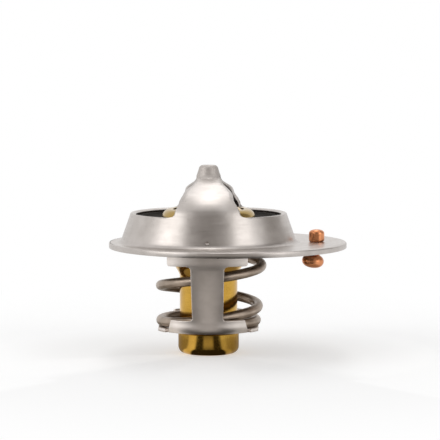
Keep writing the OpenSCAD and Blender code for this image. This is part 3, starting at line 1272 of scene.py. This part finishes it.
    def lip_point(self, angle: float, out: float) -> Vector:
        """Point of the plate's lip between the walls.

        Args:
            angle: Angle round the plate.
            out: Share of the way out to the lip's edge.

        Returns:
            The point.
        """
        widest = self.plate_w / max(abs(math.sin(angle)), TINY)
        reach = min(self.ring_r + self.plate_lip, max(self.ring_r, widest))
        radius = self.ring_r + (reach - self.ring_r) * out
        return Vector((math.sin(angle) * radius, -math.cos(angle) * radius, self.foot_z))

    def plate(self, bm: Mesh) -> None:
        """Adds the foot plate with its hole and its two lips.

        Args:
            bm: The mesh to add to.
        """
        angles, free = self.plate_angles()
        count = len(angles) - 1
        patch(bm, count, self.plate_rows, lambda u, v: self.plate_point(angles[round(u * count)], v))
        columns = self.side_columns
        for first in [i for i in range(count) if free[i] and not free[i - 1]]:
            patch(
                bm, columns, self.lip_rows,
                lambda u, v: self.lip_point(angles[first + round(u * columns)], v),
            )

    def build(self) -> None:
        """Makes the frame and dresses it."""
        bm = bmesh.new()
        for side in (-1, 1):
            self.half(bm, side)
        self.plate(bm)
        self.facing(bm, Vector((0, 0, -1)), Vector((self.ring_r - 1, 0, self.foot_z)))
        obj = as_object(bm, "stirrup_frame")
        self.thickened(obj, self.sheet_t)
        self.bevel_between(obj, Mark.OUTSIDE, self.edge, 3)
        self.bevel_between(obj, Mark.INSIDE, self.edge, 3)
        self.place(obj, Body.HOUSING, "lower_frame", STEEL_FRAME)


@dataclass
class MainSpring(Assembly):
    """The return spring: one wire with two flat end turns, wound right-handed.

    Places along the wire, such as where it lifts and leans, are angles in degrees.
    """

    wire_d: float = 2.15
    bottom_z: float = -17.08
    top_z: float = 4.08
    foot_r: float = 11.5
    head_r: float = 12.75
    pitch: float = 8.95
    bow: float = 0.45
    lean: float = 0.35
    lean_starts: Pair = (180.0, 300.0)
    lean_fade: float = 150.0
    start: float = -100.0
    lift: float = 236.0
    blend: float = 55.0
    last_turn: float = 160.0
    steps_per_turn: int = 72
    tip_round: float = 0.25
    tip_edge_deg: float = 50.0
    open_travel: float = 8.0

    @property
    def wire_r(self) -> float:
        """Radius of the wire."""
        return self.wire_d / 2

    @property
    def low(self) -> float:
        """Height of the wire's centre in the bottom turn."""
        return self.bottom_z + self.wire_r

    @property
    def high(self) -> float:
        """Height of the wire's centre in the top turn."""
        return self.top_z - self.wire_r

    @property
    def land(self) -> float:
        """Angle at which the wire reaches the top turn."""
        return self.lift + (self.high - self.low) / self.pitch * 360

    def risen(self, past: float) -> float:
        """Angle climbed since a bend of the pitch, eased on both sides of the bend.

        Args:
            past: Angle past the bend, in degrees.

        Returns:
            The angle that counts for the climb.
        """
        if abs(past) < self.blend:
            return (past + self.blend) ** 2 / (4 * self.blend)
        return max(0.0, past)

    def centre(self, angle: float) -> Vector:
        """Centre of the wire.

        Args:
            angle: Angle in degrees from the start of the first turn.

        Returns:
            The point.
        """
        z = self.low + (self.risen(angle - self.lift) - self.risen(angle - self.land)) * self.pitch / 360
        share = (z - self.low) / (self.high - self.low)
        radius = self.foot_r + (self.head_r - self.foot_r) * share - self.wire_r
        leaning = 1 - smooth_step(angle, self.land - self.lean_fade, self.land)
        leaning *= smooth_step(angle, *self.lean_starts)
        turn = math.radians(angle)
        x = radius * math.cos(turn) + self.bow * math.sin(math.pi * share)
        return Vector((x, radius * math.sin(turn), z - self.lean * leaning * math.sin(turn)))

    def wire(self) -> bpy.types.Mesh:
        """Makes the wire as a round curve along its centre.

        Returns:
            The wire's mesh.
        """
        end = self.land + self.last_turn
        count = round((end - self.start) / 360 * self.steps_per_turn)
        curve = bpy.data.curves.new("coil_spring", "CURVE")
        curve.dimensions = "3D"
        curve.bevel_depth = self.wire_r
        curve.bevel_resolution = 7
        curve.use_fill_caps = True
        curve.twist_mode = "Z_UP"
        spline = curve.splines.new("POLY")
        spline.points.add(count)
        for i, point in enumerate(spline.points):
            point.co = (*self.centre(self.start + (end - self.start) * i / count), 1)
        carrier = bpy.data.objects.new("coil_spring", curve)
        bpy.context.scene.collection.objects.link(carrier)
        mesh = finished_mesh(carrier)
        bpy.data.objects.remove(carrier)
        return mesh

    def build(self) -> None:
        """Makes the spring and dresses it."""
        mesh = self.wire()
        bm = bmesh.new()
        bm.from_mesh(mesh)
        bpy.data.meshes.remove(mesh)
        bmesh.ops.remove_doubles(bm, verts=bm.verts, dist=WELD)
        bmesh.ops.recalc_face_normals(bm, faces=bm.faces)
        sharp = math.radians(self.tip_edge_deg)
        rims = [e for e in bm.edges if len(e.link_faces) == 2 and e.calc_face_angle() > sharp]
        bevelled(bm, rims, self.tip_round, 3, slide=False)
        obj = self.place(as_object(bm, "coil_spring"), Body.HOUSING, "main_spring", SPRING_WIRE)
        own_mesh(obj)


@dataclass
class ValveDisc(Assembly):
    """The valve plate and the rubber seal moulded on its rim."""

    plate_t: float = 0.9
    plate_top: float = 5.0
    plate_r: float = 14.9
    plate_bore: float = 7.85
    plate_edge: float = 0.2
    step_h: float = 0.5
    step_slope: float = 0.5
    rim_land: float = 0.85
    lip_reach: float = 1.08
    lip_h: float = 6.9
    plate_inset: float = 0.35
    hook_h: float = 0.45
    hook_reach: float = 0.3
    seal_in_r: float = 10.45
    seal_edge: float = 0.12

    @property
    def step_r(self) -> float:
        """Radius of the step that centres the spring."""
        return self.plate_r - self.rim_land - self.step_slope

    @property
    def rim_z(self) -> float:
        """Height of the underside of the plate's rim."""
        return self.plate_top - self.plate_t + self.step_h

    def plate_section(self) -> list[Vector]:
        """Half section of the plate.

        Returns:
            Its radii and heights.
        """
        under, over = self.plate_top - self.plate_t, self.rim_z + self.plate_t
        corners = path(
            (self.plate_bore, under),
            (self.step_r, under),
            (self.step_r + self.step_slope, self.rim_z),
            (self.plate_r, self.rim_z),
            (self.plate_r, over),
            (self.step_r, over),
            (self.step_r - self.step_slope, self.plate_top),
            (self.plate_bore, self.plate_top),
        )
        return rounded(corners, self.plate_edge)

    def seal_section(self) -> list[Vector]:
        """Half section of the seal, with its lip leaning out to the cone.

        Returns:
            Its radii and heights.
        """
        lip_r, lip_h = self.plate_r + self.lip_reach, self.lip_h
        rim_z, over = self.rim_z, self.rim_z + self.plate_t
        under_r, edge = self.plate_r - self.plate_inset, self.plate_edge
        body = path(
            (self.seal_in_r, self.plate_top),
            (self.step_r - self.step_slope, self.plate_top),
            (self.step_r, over),
            (self.plate_r - edge, over),
            (self.plate_r, over - edge),
            (self.plate_r, rim_z),
            (under_r, rim_z),
            (under_r, rim_z - self.hook_h),
            (self.plate_r + self.hook_reach, rim_z - self.hook_h),
        )
        outer = bezier(
            (lip_r - 0.2, rim_z + 0.1),
            (lip_r, rim_z + 0.6),
            (lip_r + 0.05, lip_h - 0.8),
            (lip_r, lip_h - 0.2),
            8,
        )
        tip = path((lip_r - 0.2, lip_h), (lip_r - 0.7, lip_h))
        inner = bezier(
            (lip_r - 1.1, lip_h - 0.15),
            (lip_r - 1.6, self.plate_top + 1.35),
            (self.seal_in_r + 2.5, self.plate_top + 1.15),
            (self.seal_in_r + 0.6, self.plate_top + 1.1),
            14,
        )
        last = path((self.seal_in_r, self.plate_top + 0.7))
        return rounded(body + outer + tip + inner + last, self.seal_edge, count=2)

    def build(self) -> None:
        """Makes the plate and the seal and dresses them."""
        self.place_turned("valve_disc", self.plate_section(), TURN, "valve_plate", STEEL_PLATE)
        self.place_turned("lip_seal", self.seal_section(), FINE_TURN, "valve_seal", BLACK_RUBBER)


@dataclass
class WaxElement(Assembly):
    """The wax element: brass case and guide, boot, washer, wax and the fixed piston."""

    case_z: float = -23.3
    case_t: float = 1.05
    bulb_r: float = 6.66
    bulb_corner: float = 1.55
    bulb_top: float = -18.4
    bulb_taper: float = 0.35
    body_r: float = 6.33
    flare_z: float = -6.1
    flare_h: float = 3.1
    shoulder_r: float = 7.8
    collar_r: float = 10.2
    collar_foot: float = 5.02
    collar_top: float = 8.45
    collar_edge: float = 0.5
    roll_t: float = 0.8
    roll_w: float = 1.3
    clamp_wall: float = 0.25
    cavity_corner: float = 0.8
    guide_r: float = 4.4
    guide_h: float = 12.0
    guide_flange_t: float = 1.0
    boot_flange_t: float = 0.7
    boot_t: float = 1.7
    boot_end_t: float = 1.8
    boot_end_r: float = 1.2
    piston_r: float = 1.8
    piston_drop: float = 12.5
    piston_top: float = 17.18
    piston_tip_r: float = 1.2
    piston_gap: float = 0.04
    tip_taper_h: float = 4.5
    washer_r: float = 2.9
    washer_t: float = 0.6
    seat: float = 0.02
    fine_edge: float = 0.08

    @property
    def case_in_r(self) -> float:
        """Inner radius of the case's body."""
        return self.body_r - self.case_t

    @property
    def neck_in_r(self) -> float:
        """Inner radius of the case's widened neck."""
        return self.shoulder_r - self.case_t

    @property
    def clamp_r(self) -> float:
        """Inner radius of the collar, where the guide and the boot are clamped."""
        return self.collar_r - self.case_t - self.clamp_wall

    @property
    def clamp_top(self) -> float:
        """Height of the underside of the rolled lip."""
        return self.collar_top - self.roll_t

    @property
    def guide_foot(self) -> float:
        """Height of the underside of the guide's flange."""
        return self.clamp_top - self.guide_flange_t

    @property
    def ledge_z(self) -> float:
        """Height of the ledge that carries the boot's flange."""
        return self.guide_foot - self.boot_flange_t - self.seat

    @property
    def roll_in_r(self) -> float:
        """Inner radius of the rolled lip."""
        return self.clamp_r - self.roll_w

    @property
    def bore_r(self) -> float:
        """Radius of the bores round the piston."""
        return self.piston_r + self.piston_gap

    def cavity(self, gap: float) -> list[Vector]:
        """Line of the case's cavity from the bottom up to the ledge, drawn in by a gap.

        Args:
            gap: How far it is drawn in.

        Returns:
            The line.
        """
        corner, foot = self.cavity_corner, self.case_z + self.case_t
        bend = arc((self.case_in_r - corner - gap, foot + corner + gap), corner, -90, 0, 8)
        neck = path(
            (self.case_in_r - gap, self.flare_z),
            (self.neck_in_r - gap, self.flare_z + self.flare_h + gap),
        )
        return [*path((0, foot + gap)), *bend, *neck]

    def case_section(self) -> list[Vector]:
        """Half section of the case, outside first, then back down the inside.

        Returns:
            Its radii and heights.
        """
        corner, top, shoulder = self.bulb_corner, self.collar_top, self.shoulder_r
        bulb = arc((self.bulb_r - corner, self.case_z + corner), corner, -90, 0, 14)
        step = path((self.bulb_r, self.bulb_top - self.bulb_taper), (self.body_r, self.bulb_top))
        flare = bezier(
            (self.body_r, self.flare_z),
            (self.body_r + 0.2, self.flare_z + 0.9),
            (shoulder - 0.1, self.flare_z + self.flare_h - 1),
            (shoulder, self.flare_z + self.flare_h),
            14,
        )
        edge, roll = self.collar_edge, self.roll_t / 2
        under = arc((self.collar_r - edge, self.collar_foot + edge), edge, -90, 0, 6)
        crown = bezier(
            (self.collar_r, top - 2),
            (self.collar_r, top - 0.8),
            (self.collar_r - 0.8, top),
            (self.collar_r - 1.9, top),
            14,
        )
        lip = arc((self.roll_in_r + roll, top - roll), roll, 90, 180, 6)
        inside = path(
            (self.roll_in_r, self.clamp_top),
            (self.clamp_r, self.clamp_top),
            (self.clamp_r, self.ledge_z),
            (self.neck_in_r, self.ledge_z),
        )
        outside = [*path((0, self.case_z)), *bulb, *step, *flare, *path((shoulder, self.collar_foot))]
        return [*outside, *under, *crown, *lip, *inside, *reversed(self.cavity(0))]

    def guide_section(self) -> list[Vector]:
        """Half section of the guide.

        Returns:
            Its radii and heights.
        """
        washer_z = self.guide_foot + self.washer_t + self.seat
        shoulder_z = self.collar_top + 0.4
        washer, clamp = self.washer_r + self.seat, self.clamp_r - self.seat
        start = path(
            (washer, self.guide_foot),
            (clamp, self.guide_foot),
            (clamp, self.clamp_top - self.seat),
            (self.roll_in_r - 0.1, self.clamp_top - self.seat),
            (self.roll_in_r - 0.3, self.collar_top - 0.25),
        )
        sweep = bezier(
            (self.roll_in_r - 0.9, shoulder_z - 0.25),
            (self.guide_r + 1.3, shoulder_z),
            (self.guide_r, shoulder_z),
            (self.guide_r, shoulder_z + 1.2),
            14,
        )
        end = path(
            (self.guide_r, self.guide_h - 0.5),
            (self.guide_r - 0.5, self.guide_h),
            (self.bore_r + 0.4, self.guide_h),
            (self.bore_r, self.guide_h - 0.4),
            (self.bore_r, washer_z),
            (washer, washer_z),
        )
        return rounded(start + sweep + end, self.fine_edge, count=2)

    def piston_line(self, gap: float, top: float) -> list[Vector]:
        """Line of the piston's lower end and shaft, grown by a gap.

        Args:
            gap: How far it is grown.
            top: Height at which it ends.

        Returns:
            The line.
        """
        tip = self.piston_r / 2
        return path(
            (0, -self.piston_drop - gap),
            (tip + 0.6 * gap, -self.piston_drop - gap),
            (tip + 0.35 + gap, -self.piston_drop + 0.5),
            (self.piston_r + gap, -self.piston_drop + self.tip_taper_h),
            (self.piston_r + gap, top),
        )

    def boot_outer(self, gap: float) -> list[Vector]:
        """Outer line of the boot from its flange down to its closed end, grown by a gap.

        Args:
            gap: How far it is grown.

        Returns:
            The line.
        """
        boot_r, round_r = self.piston_r + self.boot_t, self.boot_end_r
        end_z = -self.piston_drop - self.boot_end_t
        start = path(
            (boot_r + 0.5 + gap, self.ledge_z - 1 - gap),
            (boot_r + gap, self.ledge_z - 2.2 - gap),
            (boot_r - 0.4 + gap, -self.piston_drop + 1),
        )
        bend = arc((boot_r - 0.4 - round_r, end_z + round_r), round_r + gap, 0, -90, 8)
        return [*start, *bend, *path((0, end_z - gap))]

    def boot_section(self) -> list[Vector]:
        """Half section of the rubber boot.

        Returns:
            Its radii and heights.
        """
        flange_z = self.guide_foot - self.seat
        flange = path(
            (self.clamp_r - self.seat, flange_z),
            (self.clamp_r - self.seat, self.ledge_z + self.seat),
            (self.neck_in_r - 0.6, self.ledge_z + self.seat),
        )
        return self.piston_line(self.piston_gap, flange_z) + flange + self.boot_outer(0)

    def washer_section(self) -> list[Vector]:
        """Half section of the washer between the boot and the guide.

        Returns:
            Its radii and heights.
        """
        foot, top = self.guide_foot, self.guide_foot + self.washer_t
        ring = path((self.bore_r, foot), (self.washer_r, foot), (self.washer_r, top), (self.bore_r, top))
        return rounded(ring, self.fine_edge)

    def wax_section(self) -> list[Vector]:
        """Half section of the wax that fills the case round the boot.

        Returns:
            Its radii and heights.
        """
        top = path(
            (self.neck_in_r - self.seat, self.ledge_z - 0.6),
            (self.neck_in_r - 0.6, self.ledge_z - 0.1),
        )
        return self.cavity(self.seat) + top + self.boot_outer(self.seat)

    def piston_section(self) -> list[Vector]:
        """Half section of the piston, with its stepped and tapered upper end.

        Returns:
            Its radii and heights.
        """
        top, tip_r = self.piston_top, self.piston_tip_r
        tip = path((tip_r + 0.25, top - 1.68), (tip_r, top - 0.33), (tip_r - 0.3, top), (0, top))
        return rounded(self.piston_line(0, top - 3.18) + tip, 0.15, closed=False)

    def build(self) -> None:
        """Makes the element's six pieces and dresses them."""
        self.place_turned("brass_case", self.case_section(), FINE_TURN, "element_case", DRAWN_BRASS)
        self.place_turned("brass_guide", self.guide_section(), TURN, "element_guide", TURNED_BRASS)
        self.place_turned("element_boot", self.boot_section(), COARSE_TURN, "rubber_boot", BOOT_RUBBER)
        self.place_turned("stop_washer", self.washer_section(), COARSE_TURN, "backup_washer", WHITE_WASHER)
        self.place_turned("wax_fill", self.wax_section(), COARSE_TURN, "wax_charge", WAX)
        self.place_turned(
            "push_rod", self.piston_section(), COARSE_TURN, "piston", POLISHED_PIN, Body.HOUSING
        )


@dataclass
class VentPin(Assembly):
    """The loose copper pin: a domed head, a thin stem and a squashed bead below the flange."""

    pin_x: float = 19.2
    seat_z: float = 1.22
    head_r: float = 1.7
    head_h: float = 2.7
    head_shift: float = 0.25
    head_edge: float = 0.45
    stem_r: float = 0.9
    stem_steps: int = 48
    stem_grip: Pair = (0.8, 0.4)
    bead_r: float = 2.4
    bead_h: float = 3.1
    bead_top: float = -1.45
    bead_tilt: float = 7.0
    bead_shift: float = -0.55
    voxel: float = 0.09

    def head(self) -> Mesh:
        """Makes the domed head.

        Returns:
            The head.
        """
        edge, r, h = self.head_edge, self.head_r, self.head_h
        line = [*path((0, 0)), *arc((r - edge, edge), edge, -90, 0, 8)]
        bm = turned(line + bezier((r, h - 1), (r, h - 0.3), (r - 0.6, h), (0, h), 14), PIN_TURN)
        bmesh.ops.translate(bm, verts=bm.verts, vec=(self.head_shift, 0, self.seat_z))
        return bm

    def stem(self) -> Mesh:
        """Makes the stem, which reaches into the bead and the head.

        Returns:
            The stem.
        """
        into_bead, into_head = self.stem_grip
        low, high = self.bead_top - into_bead, self.seat_z + into_head
        return turned(path((0, low), (self.stem_r, low), (self.stem_r, high), (0, high)), self.stem_steps)

    def bead(self) -> Mesh:
        """Makes the squashed bead, a little tilted and off the stem's axis.

        Returns:
            The bead.
        """
        half, r = self.bead_h / 2, self.bead_r
        line = bezier((0, -half), (r * 0.62, -half), (r, -half * 0.6), (r, 0), 12)
        line += bezier((r, 0), (r, half * 0.6), (r * 0.62, half), (0, half), 12)[1:]
        bm = turned(line, PIN_TURN)
        tilt = Matrix.Rotation(math.radians(self.bead_tilt), 3, "Y")
        bmesh.ops.rotate(bm, verts=bm.verts, cent=(0, 0, 0), matrix=tilt)
        bmesh.ops.translate(bm, verts=bm.verts, vec=(self.bead_shift, 0, self.bead_top - half))
        return bm

    def build(self) -> None:
        """Makes the pin in one piece and dresses it."""
        whole = bmesh.new()
        for part in (self.head(), self.stem(), self.bead()):
            scratch = bpy.data.meshes.new("scratch")
            part.to_mesh(scratch)
            part.free()
            whole.from_mesh(scratch)
            bpy.data.meshes.remove(scratch)
        bmesh.ops.translate(whole, verts=whole.verts, vec=(self.pin_x - VALVE_AXIS_X, 0, 0))
        obj = as_object(whole, "jiggle_pin")
        remesh = obj.modifiers.new("one_piece", "REMESH")
        remesh.mode = "VOXEL"
        remesh.voxel_size = self.voxel
        soften = obj.modifiers.new("soften", "SMOOTH")
        soften.factor = 0.5
        soften.iterations = 3
        self.place(applied(obj), Body.VENT, "vent_pin", COPPER_WIRE, sharp_deg=60)


@dataclass
class Softbox:
    """One area lamp, placed by the direction it shines from."""

    name: str
    azimuth_deg: float
    elevation_deg: float
    distance: float
    width: float
    height: float
    radiance: float

    def build(self) -> None:
        """Makes the lamp, aimed at the object."""
        light = bpy.data.lights.new(self.name, "AREA")
        light.shape = "RECTANGLE"
        light.size = self.width
        light.size_y = self.height
        light.energy = self.radiance * math.pi * self.width * self.height
        lamp = bpy.data.objects.new(self.name, light)
        way = way_to(self.azimuth_deg, self.elevation_deg)
        lamp.location = way * self.distance
        lamp.rotation_euler = way.to_track_quat("Z", "Y").to_euler()
        lamp.visible_camera = False
        bpy.context.scene.collection.objects.link(lamp)


@dataclass
class Studio:
    """The pale floor, the surroundings, the grey screens with their low cards, and the lamps.

    The floor's height and what ends in mm are in millimetres, and other lengths in metres.
    """

    floor_z: float = -23.3
    floor_r: float = 1.5
    floor_colour: Colour = (0.88, 0.88, 0.88)
    floor_low: Colour = (0.87, 0.87, 0.87)
    floor_clouds_per_mm: float = 0.02
    floor_roughness: float = 0.9
    shadow_lift: float = 0.42
    shadow_fade_mm: Pair = (50.0, 130.0)
    fill: float = 0.45
    screen_r: float = 0.6
    screen_half_deg: float = 36.0
    screen_low_deg: float = -2.0
    screen_high_deg: float = 58.0
    side_screen_deg: Pair = (88.0, 130.0)
    # The screens and cards glow with the tones below, unlit, and only metal sees them: painted
    # reflections, with dark cards in front, pale strips at the sides and a lighter patch for the stirrup's
    # leg.
    screen_above_mm: Pair = (60.0, 120.0)
    screen_darkens_mm: Pair = (120.0, 400.0)
    screen_low: Colour = (0.40, 0.38, 0.36)
    screen_high: Colour = (0.30, 0.285, 0.275)
    screen_grid: tuple[int, int] = (24, 16)
    near_grid: tuple[int, int] = (96, 12)
    far_grid: tuple[int, int] = (24, 8)
    card_mm: Pair = (5.6, 50.0)
    card_lift: float = 0.00005
    card_fade_mm: Pair = (30.0, 50.0)
    card_front: Colour = (0.03, 0.025, 0.02)
    card_front_cos: Pair = (0.70, 0.80)
    card_side: Colour = (0.36, 0.33, 0.29)
    card_far: Colour = (0.54, 0.51, 0.48)
    card_far_mm: Pair = (100.0, 150.0)
    leg_card: Colour = (0.62, 0.59, 0.56)
    leg_card_starts_mm: Pair = (10.0, 24.0)
    leg_card_ends_mm: Pair = (28.0, 44.0)
    leg_card_cos: Pair = (0.94, 0.985)
    strip_left: Colour = (0.98, 0.94, 0.89)
    strip_right: Colour = (0.55, 0.53, 0.50)
    strip_cos: Pair = (0.24, 0.40)
    strip_right_narrower: float = 0.16
    strip_turns_mm: Pair = (-8.0, 2.0)
    lamps: tuple[Softbox, ...] = (
        Softbox(
            "softbox_left", azimuth_deg=-58, elevation_deg=20, distance=0.75,
            width=0.44, height=0.70, radiance=1.55,
        ),
        Softbox(
            "softbox_right", azimuth_deg=52, elevation_deg=20, distance=0.80,
            width=0.34, height=0.70, radiance=1.45,
        ),
        Softbox(
            "strip_light_top", azimuth_deg=180, elevation_deg=66, distance=0.80,
            width=0.16, height=0.90, radiance=2.3,
        ),
    )

    def floor(self) -> None:
        """Makes the white floor that the object stands on, which keeps the object's shadow."""
        bm = bmesh.new()
        bmesh.ops.create_circle(bm, cap_ends=True, segments=96, radius=self.floor_r)
        obj = as_object(bm, "floor")
        obj.data.transform(Matrix.Translation((0, 0, self.floor_z * MM)))
        nodes = Nodes("floor_paint")
        place = nodes.object_mm()
        paint = nodes.shader
        tone = nodes.spread(nodes.noise(place, self.floor_clouds_per_mm), 0, 1)
        nodes.fill(paint.inputs["Base Color"], nodes.mixed(tone, self.floor_low, self.floor_colour))
        paint.inputs["Roughness"].default_value = self.floor_roughness
        glow = nodes.add("Emission")
        glow.inputs["Strength"].default_value = self.shadow_lift
        lifted = nodes.add("AddShader", paint.outputs[0], glow.outputs[0]).outputs[0]
        fade = nodes.ramp(nodes.length(place), *self.shadow_fade_mm)
        white = nodes.add("Emission").outputs[0]
        nodes.surface(nodes.blended(nodes.seen(), paint.outputs[0], nodes.blended(fade, lifted, white)))
        obj.data.materials.append(nodes.material)

    def surroundings(self) -> None:
        """Sets the world: white where it is seen or reflected, and a soft fill light elsewhere."""
        world = bpy.data.worlds.new("room")
        bpy.context.scene.world = world
        world.use_nodes = True
        nodes = Nodes("", world.node_tree)
        fill = nodes.add("Background")
        fill.inputs["Strength"].default_value = self.fill
        white = nodes.add("Background", (1, 1, 1, 1))
        nodes.surface(nodes.blended(nodes.seen(), fill.outputs[0], white.outputs[0]))

    def upright(self, bm: Mesh, start_deg: float, stop_deg: float) -> None:
        """Adds a screen that stands round the object.

        Args:
            bm: The mesh to add to.
            start_deg: Azimuth of its left edge.
            stop_deg: Azimuth of its right edge.
        """
        low, far = self.screen_low_deg, self.screen_r
        wide, tall = stop_deg - start_deg, self.screen_high_deg - low
        patch(bm, *self.screen_grid, lambda u, v: way_to(start_deg + wide * u, low + tall * v) * far)

    def card_point(self, azimuth_deg: float, reach: float) -> Vector:
        """Point of a card.

        Args:
            azimuth_deg: Azimuth about the valve's axis.
            reach: Distance from that axis, in metres.

        Returns:
            The point, just above the floor.
        """
        a = math.radians(azimuth_deg)
        height = self.floor_z * MM + self.card_lift
        return Vector((math.sin(a) * reach + VALVE_AXIS_X * MM, -math.cos(a) * reach, height))

    def flat(self, bm: Mesh, half_deg: float, near: float, far: float, grid: tuple[int, int]) -> None:
        """Adds a card that lies just above the floor, round the valve's axis.

        Args:
            bm: The mesh to add to.
            half_deg: Half the angle it covers, about the front.
            near: Distance of its inner edge from the axis, in metres.
            far: Distance of its outer edge.
            grid: Faces round and out.
        """
        patch(
            bm, *grid,
            lambda u, v: self.card_point(-half_deg + 2 * half_deg * u, near + (far - near) * v),
        )

    def reflection_tones(self) -> bpy.types.Material:
        """Builds the screens' and cards' material: glowing tones of grey by place, painted reflections
        that only metal sees.

        Returns:
            The material.
        """
        nodes = Nodes("painted_reflections")
        x, y, z, plan = nodes.parted(nodes.object_mm())
        distance = nodes.length(plan)
        # The cosine of the azimuth is 1 straight in front and 0 at the sides.
        toward = nodes.math("DIVIDE", y, nodes.math("MULTIPLY", distance, -1))
        right = nodes.ramp(x, *self.strip_turns_mm)
        widened = nodes.math("ADD", toward, nodes.math("MULTIPLY", right, -self.strip_right_narrower))
        # Pale strips on the side cards, painted highlights that the brass reflects.
        strip = nodes.mixed(right, self.strip_left, self.strip_right)
        side = nodes.mixed(nodes.ramp(widened, *self.strip_cos), self.card_side, strip)
        side = nodes.mixed(nodes.ramp(distance, *self.card_fade_mm), side, (1, 1, 1))
        # A lighter patch in front, painted so that the stirrup's leg reflects it lighter.
        leg_zone = nodes.math(
            "SUBTRACT",
            nodes.ramp(distance, *self.leg_card_starts_mm),
            nodes.ramp(distance, *self.leg_card_ends_mm),
        )
        leg_share = nodes.math("MULTIPLY", leg_zone, nodes.ramp(toward, *self.leg_card_cos))
        # Near-black in front, a painted dark reflection in the middle of the brass bulb.
        front = nodes.mixed(nodes.ramp(distance, *self.card_far_mm), self.card_front, self.card_far)
        front = nodes.mixed(leg_share, front, self.leg_card)
        cards = nodes.mixed(nodes.ramp(toward, *self.card_front_cos), side, front)
        screens = nodes.mixed(nodes.ramp(z, *self.screen_darkens_mm), self.screen_low, self.screen_high)
        tone = nodes.mixed(nodes.ramp(z, *self.screen_above_mm), cards, screens)
        nodes.surface(nodes.add("Emission", tone).outputs[0])
        return nodes.material

    def screen(self) -> None:
        """Makes the grey screens and the low cards round the object, which only metal reflects."""
        bm = bmesh.new()
        half = self.screen_half_deg
        near, edge = (reach * MM for reach in self.card_mm)
        far = self.screen_r * math.cos(math.radians(self.screen_low_deg))
        self.upright(bm, -half, half)
        self.upright(bm, *self.side_screen_deg)
        self.flat(bm, half, edge, far, self.far_grid)
        self.flat(bm, 180, near, edge, self.near_grid)
        obj = as_object(bm, "grey_screen")
        obj.data.materials.append(self.reflection_tones())
        obj.visible_camera = False
        obj.visible_diffuse = False
        obj.visible_shadow = False
        obj.visible_transmission = False

    def build(self) -> None:
        """Makes the floor, the world, the screens and the lamps."""
        self.floor()
        self.surroundings()
        self.screen()
        for lamp in self.lamps:
            lamp.build()


@dataclass
class PhotoCamera:
    """The camera at the photograph's viewing angle. The image is 440 by 440 pixels."""

    target: Colour = (-1.7, 0.0, 5.94)
    azimuth_deg: float = 0.7
    elevation_deg: float = 4.7
    distance: float = 500.0
    view_width: float = 96.3
    sensor: float = 36.0

    def build(self) -> None:
        """Makes the camera and sets it as the scene's own."""
        data = bpy.data.cameras.new("photo_camera")
        data.sensor_width = self.sensor
        data.lens = self.sensor * self.distance / self.view_width
        data.clip_start = 0.01
        data.clip_end = 20
        camera = bpy.data.objects.new("photo_camera", data)
        way = way_to(self.azimuth_deg, self.elevation_deg)
        camera.location = (Vector(self.target) + way * self.distance) * MM
        camera.rotation_euler = way.to_track_quat("Z", "Y").to_euler()
        bpy.context.scene.collection.objects.link(camera)
        bpy.context.scene.camera = camera


def main() -> None:
    """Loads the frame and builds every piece."""
    logging.basicConfig(level=logging.INFO, format="%(name)s: %(message)s")
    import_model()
    bpy.context.scene.view_settings.view_transform = "Standard"
    PhotoCamera().build()
    Studio().build()
    for part in (Housing(), Stirrup(), MainSpring(), ValveDisc(), WaxElement(), VentPin()):
        part.build()


if __name__ == "__main__":
    main()
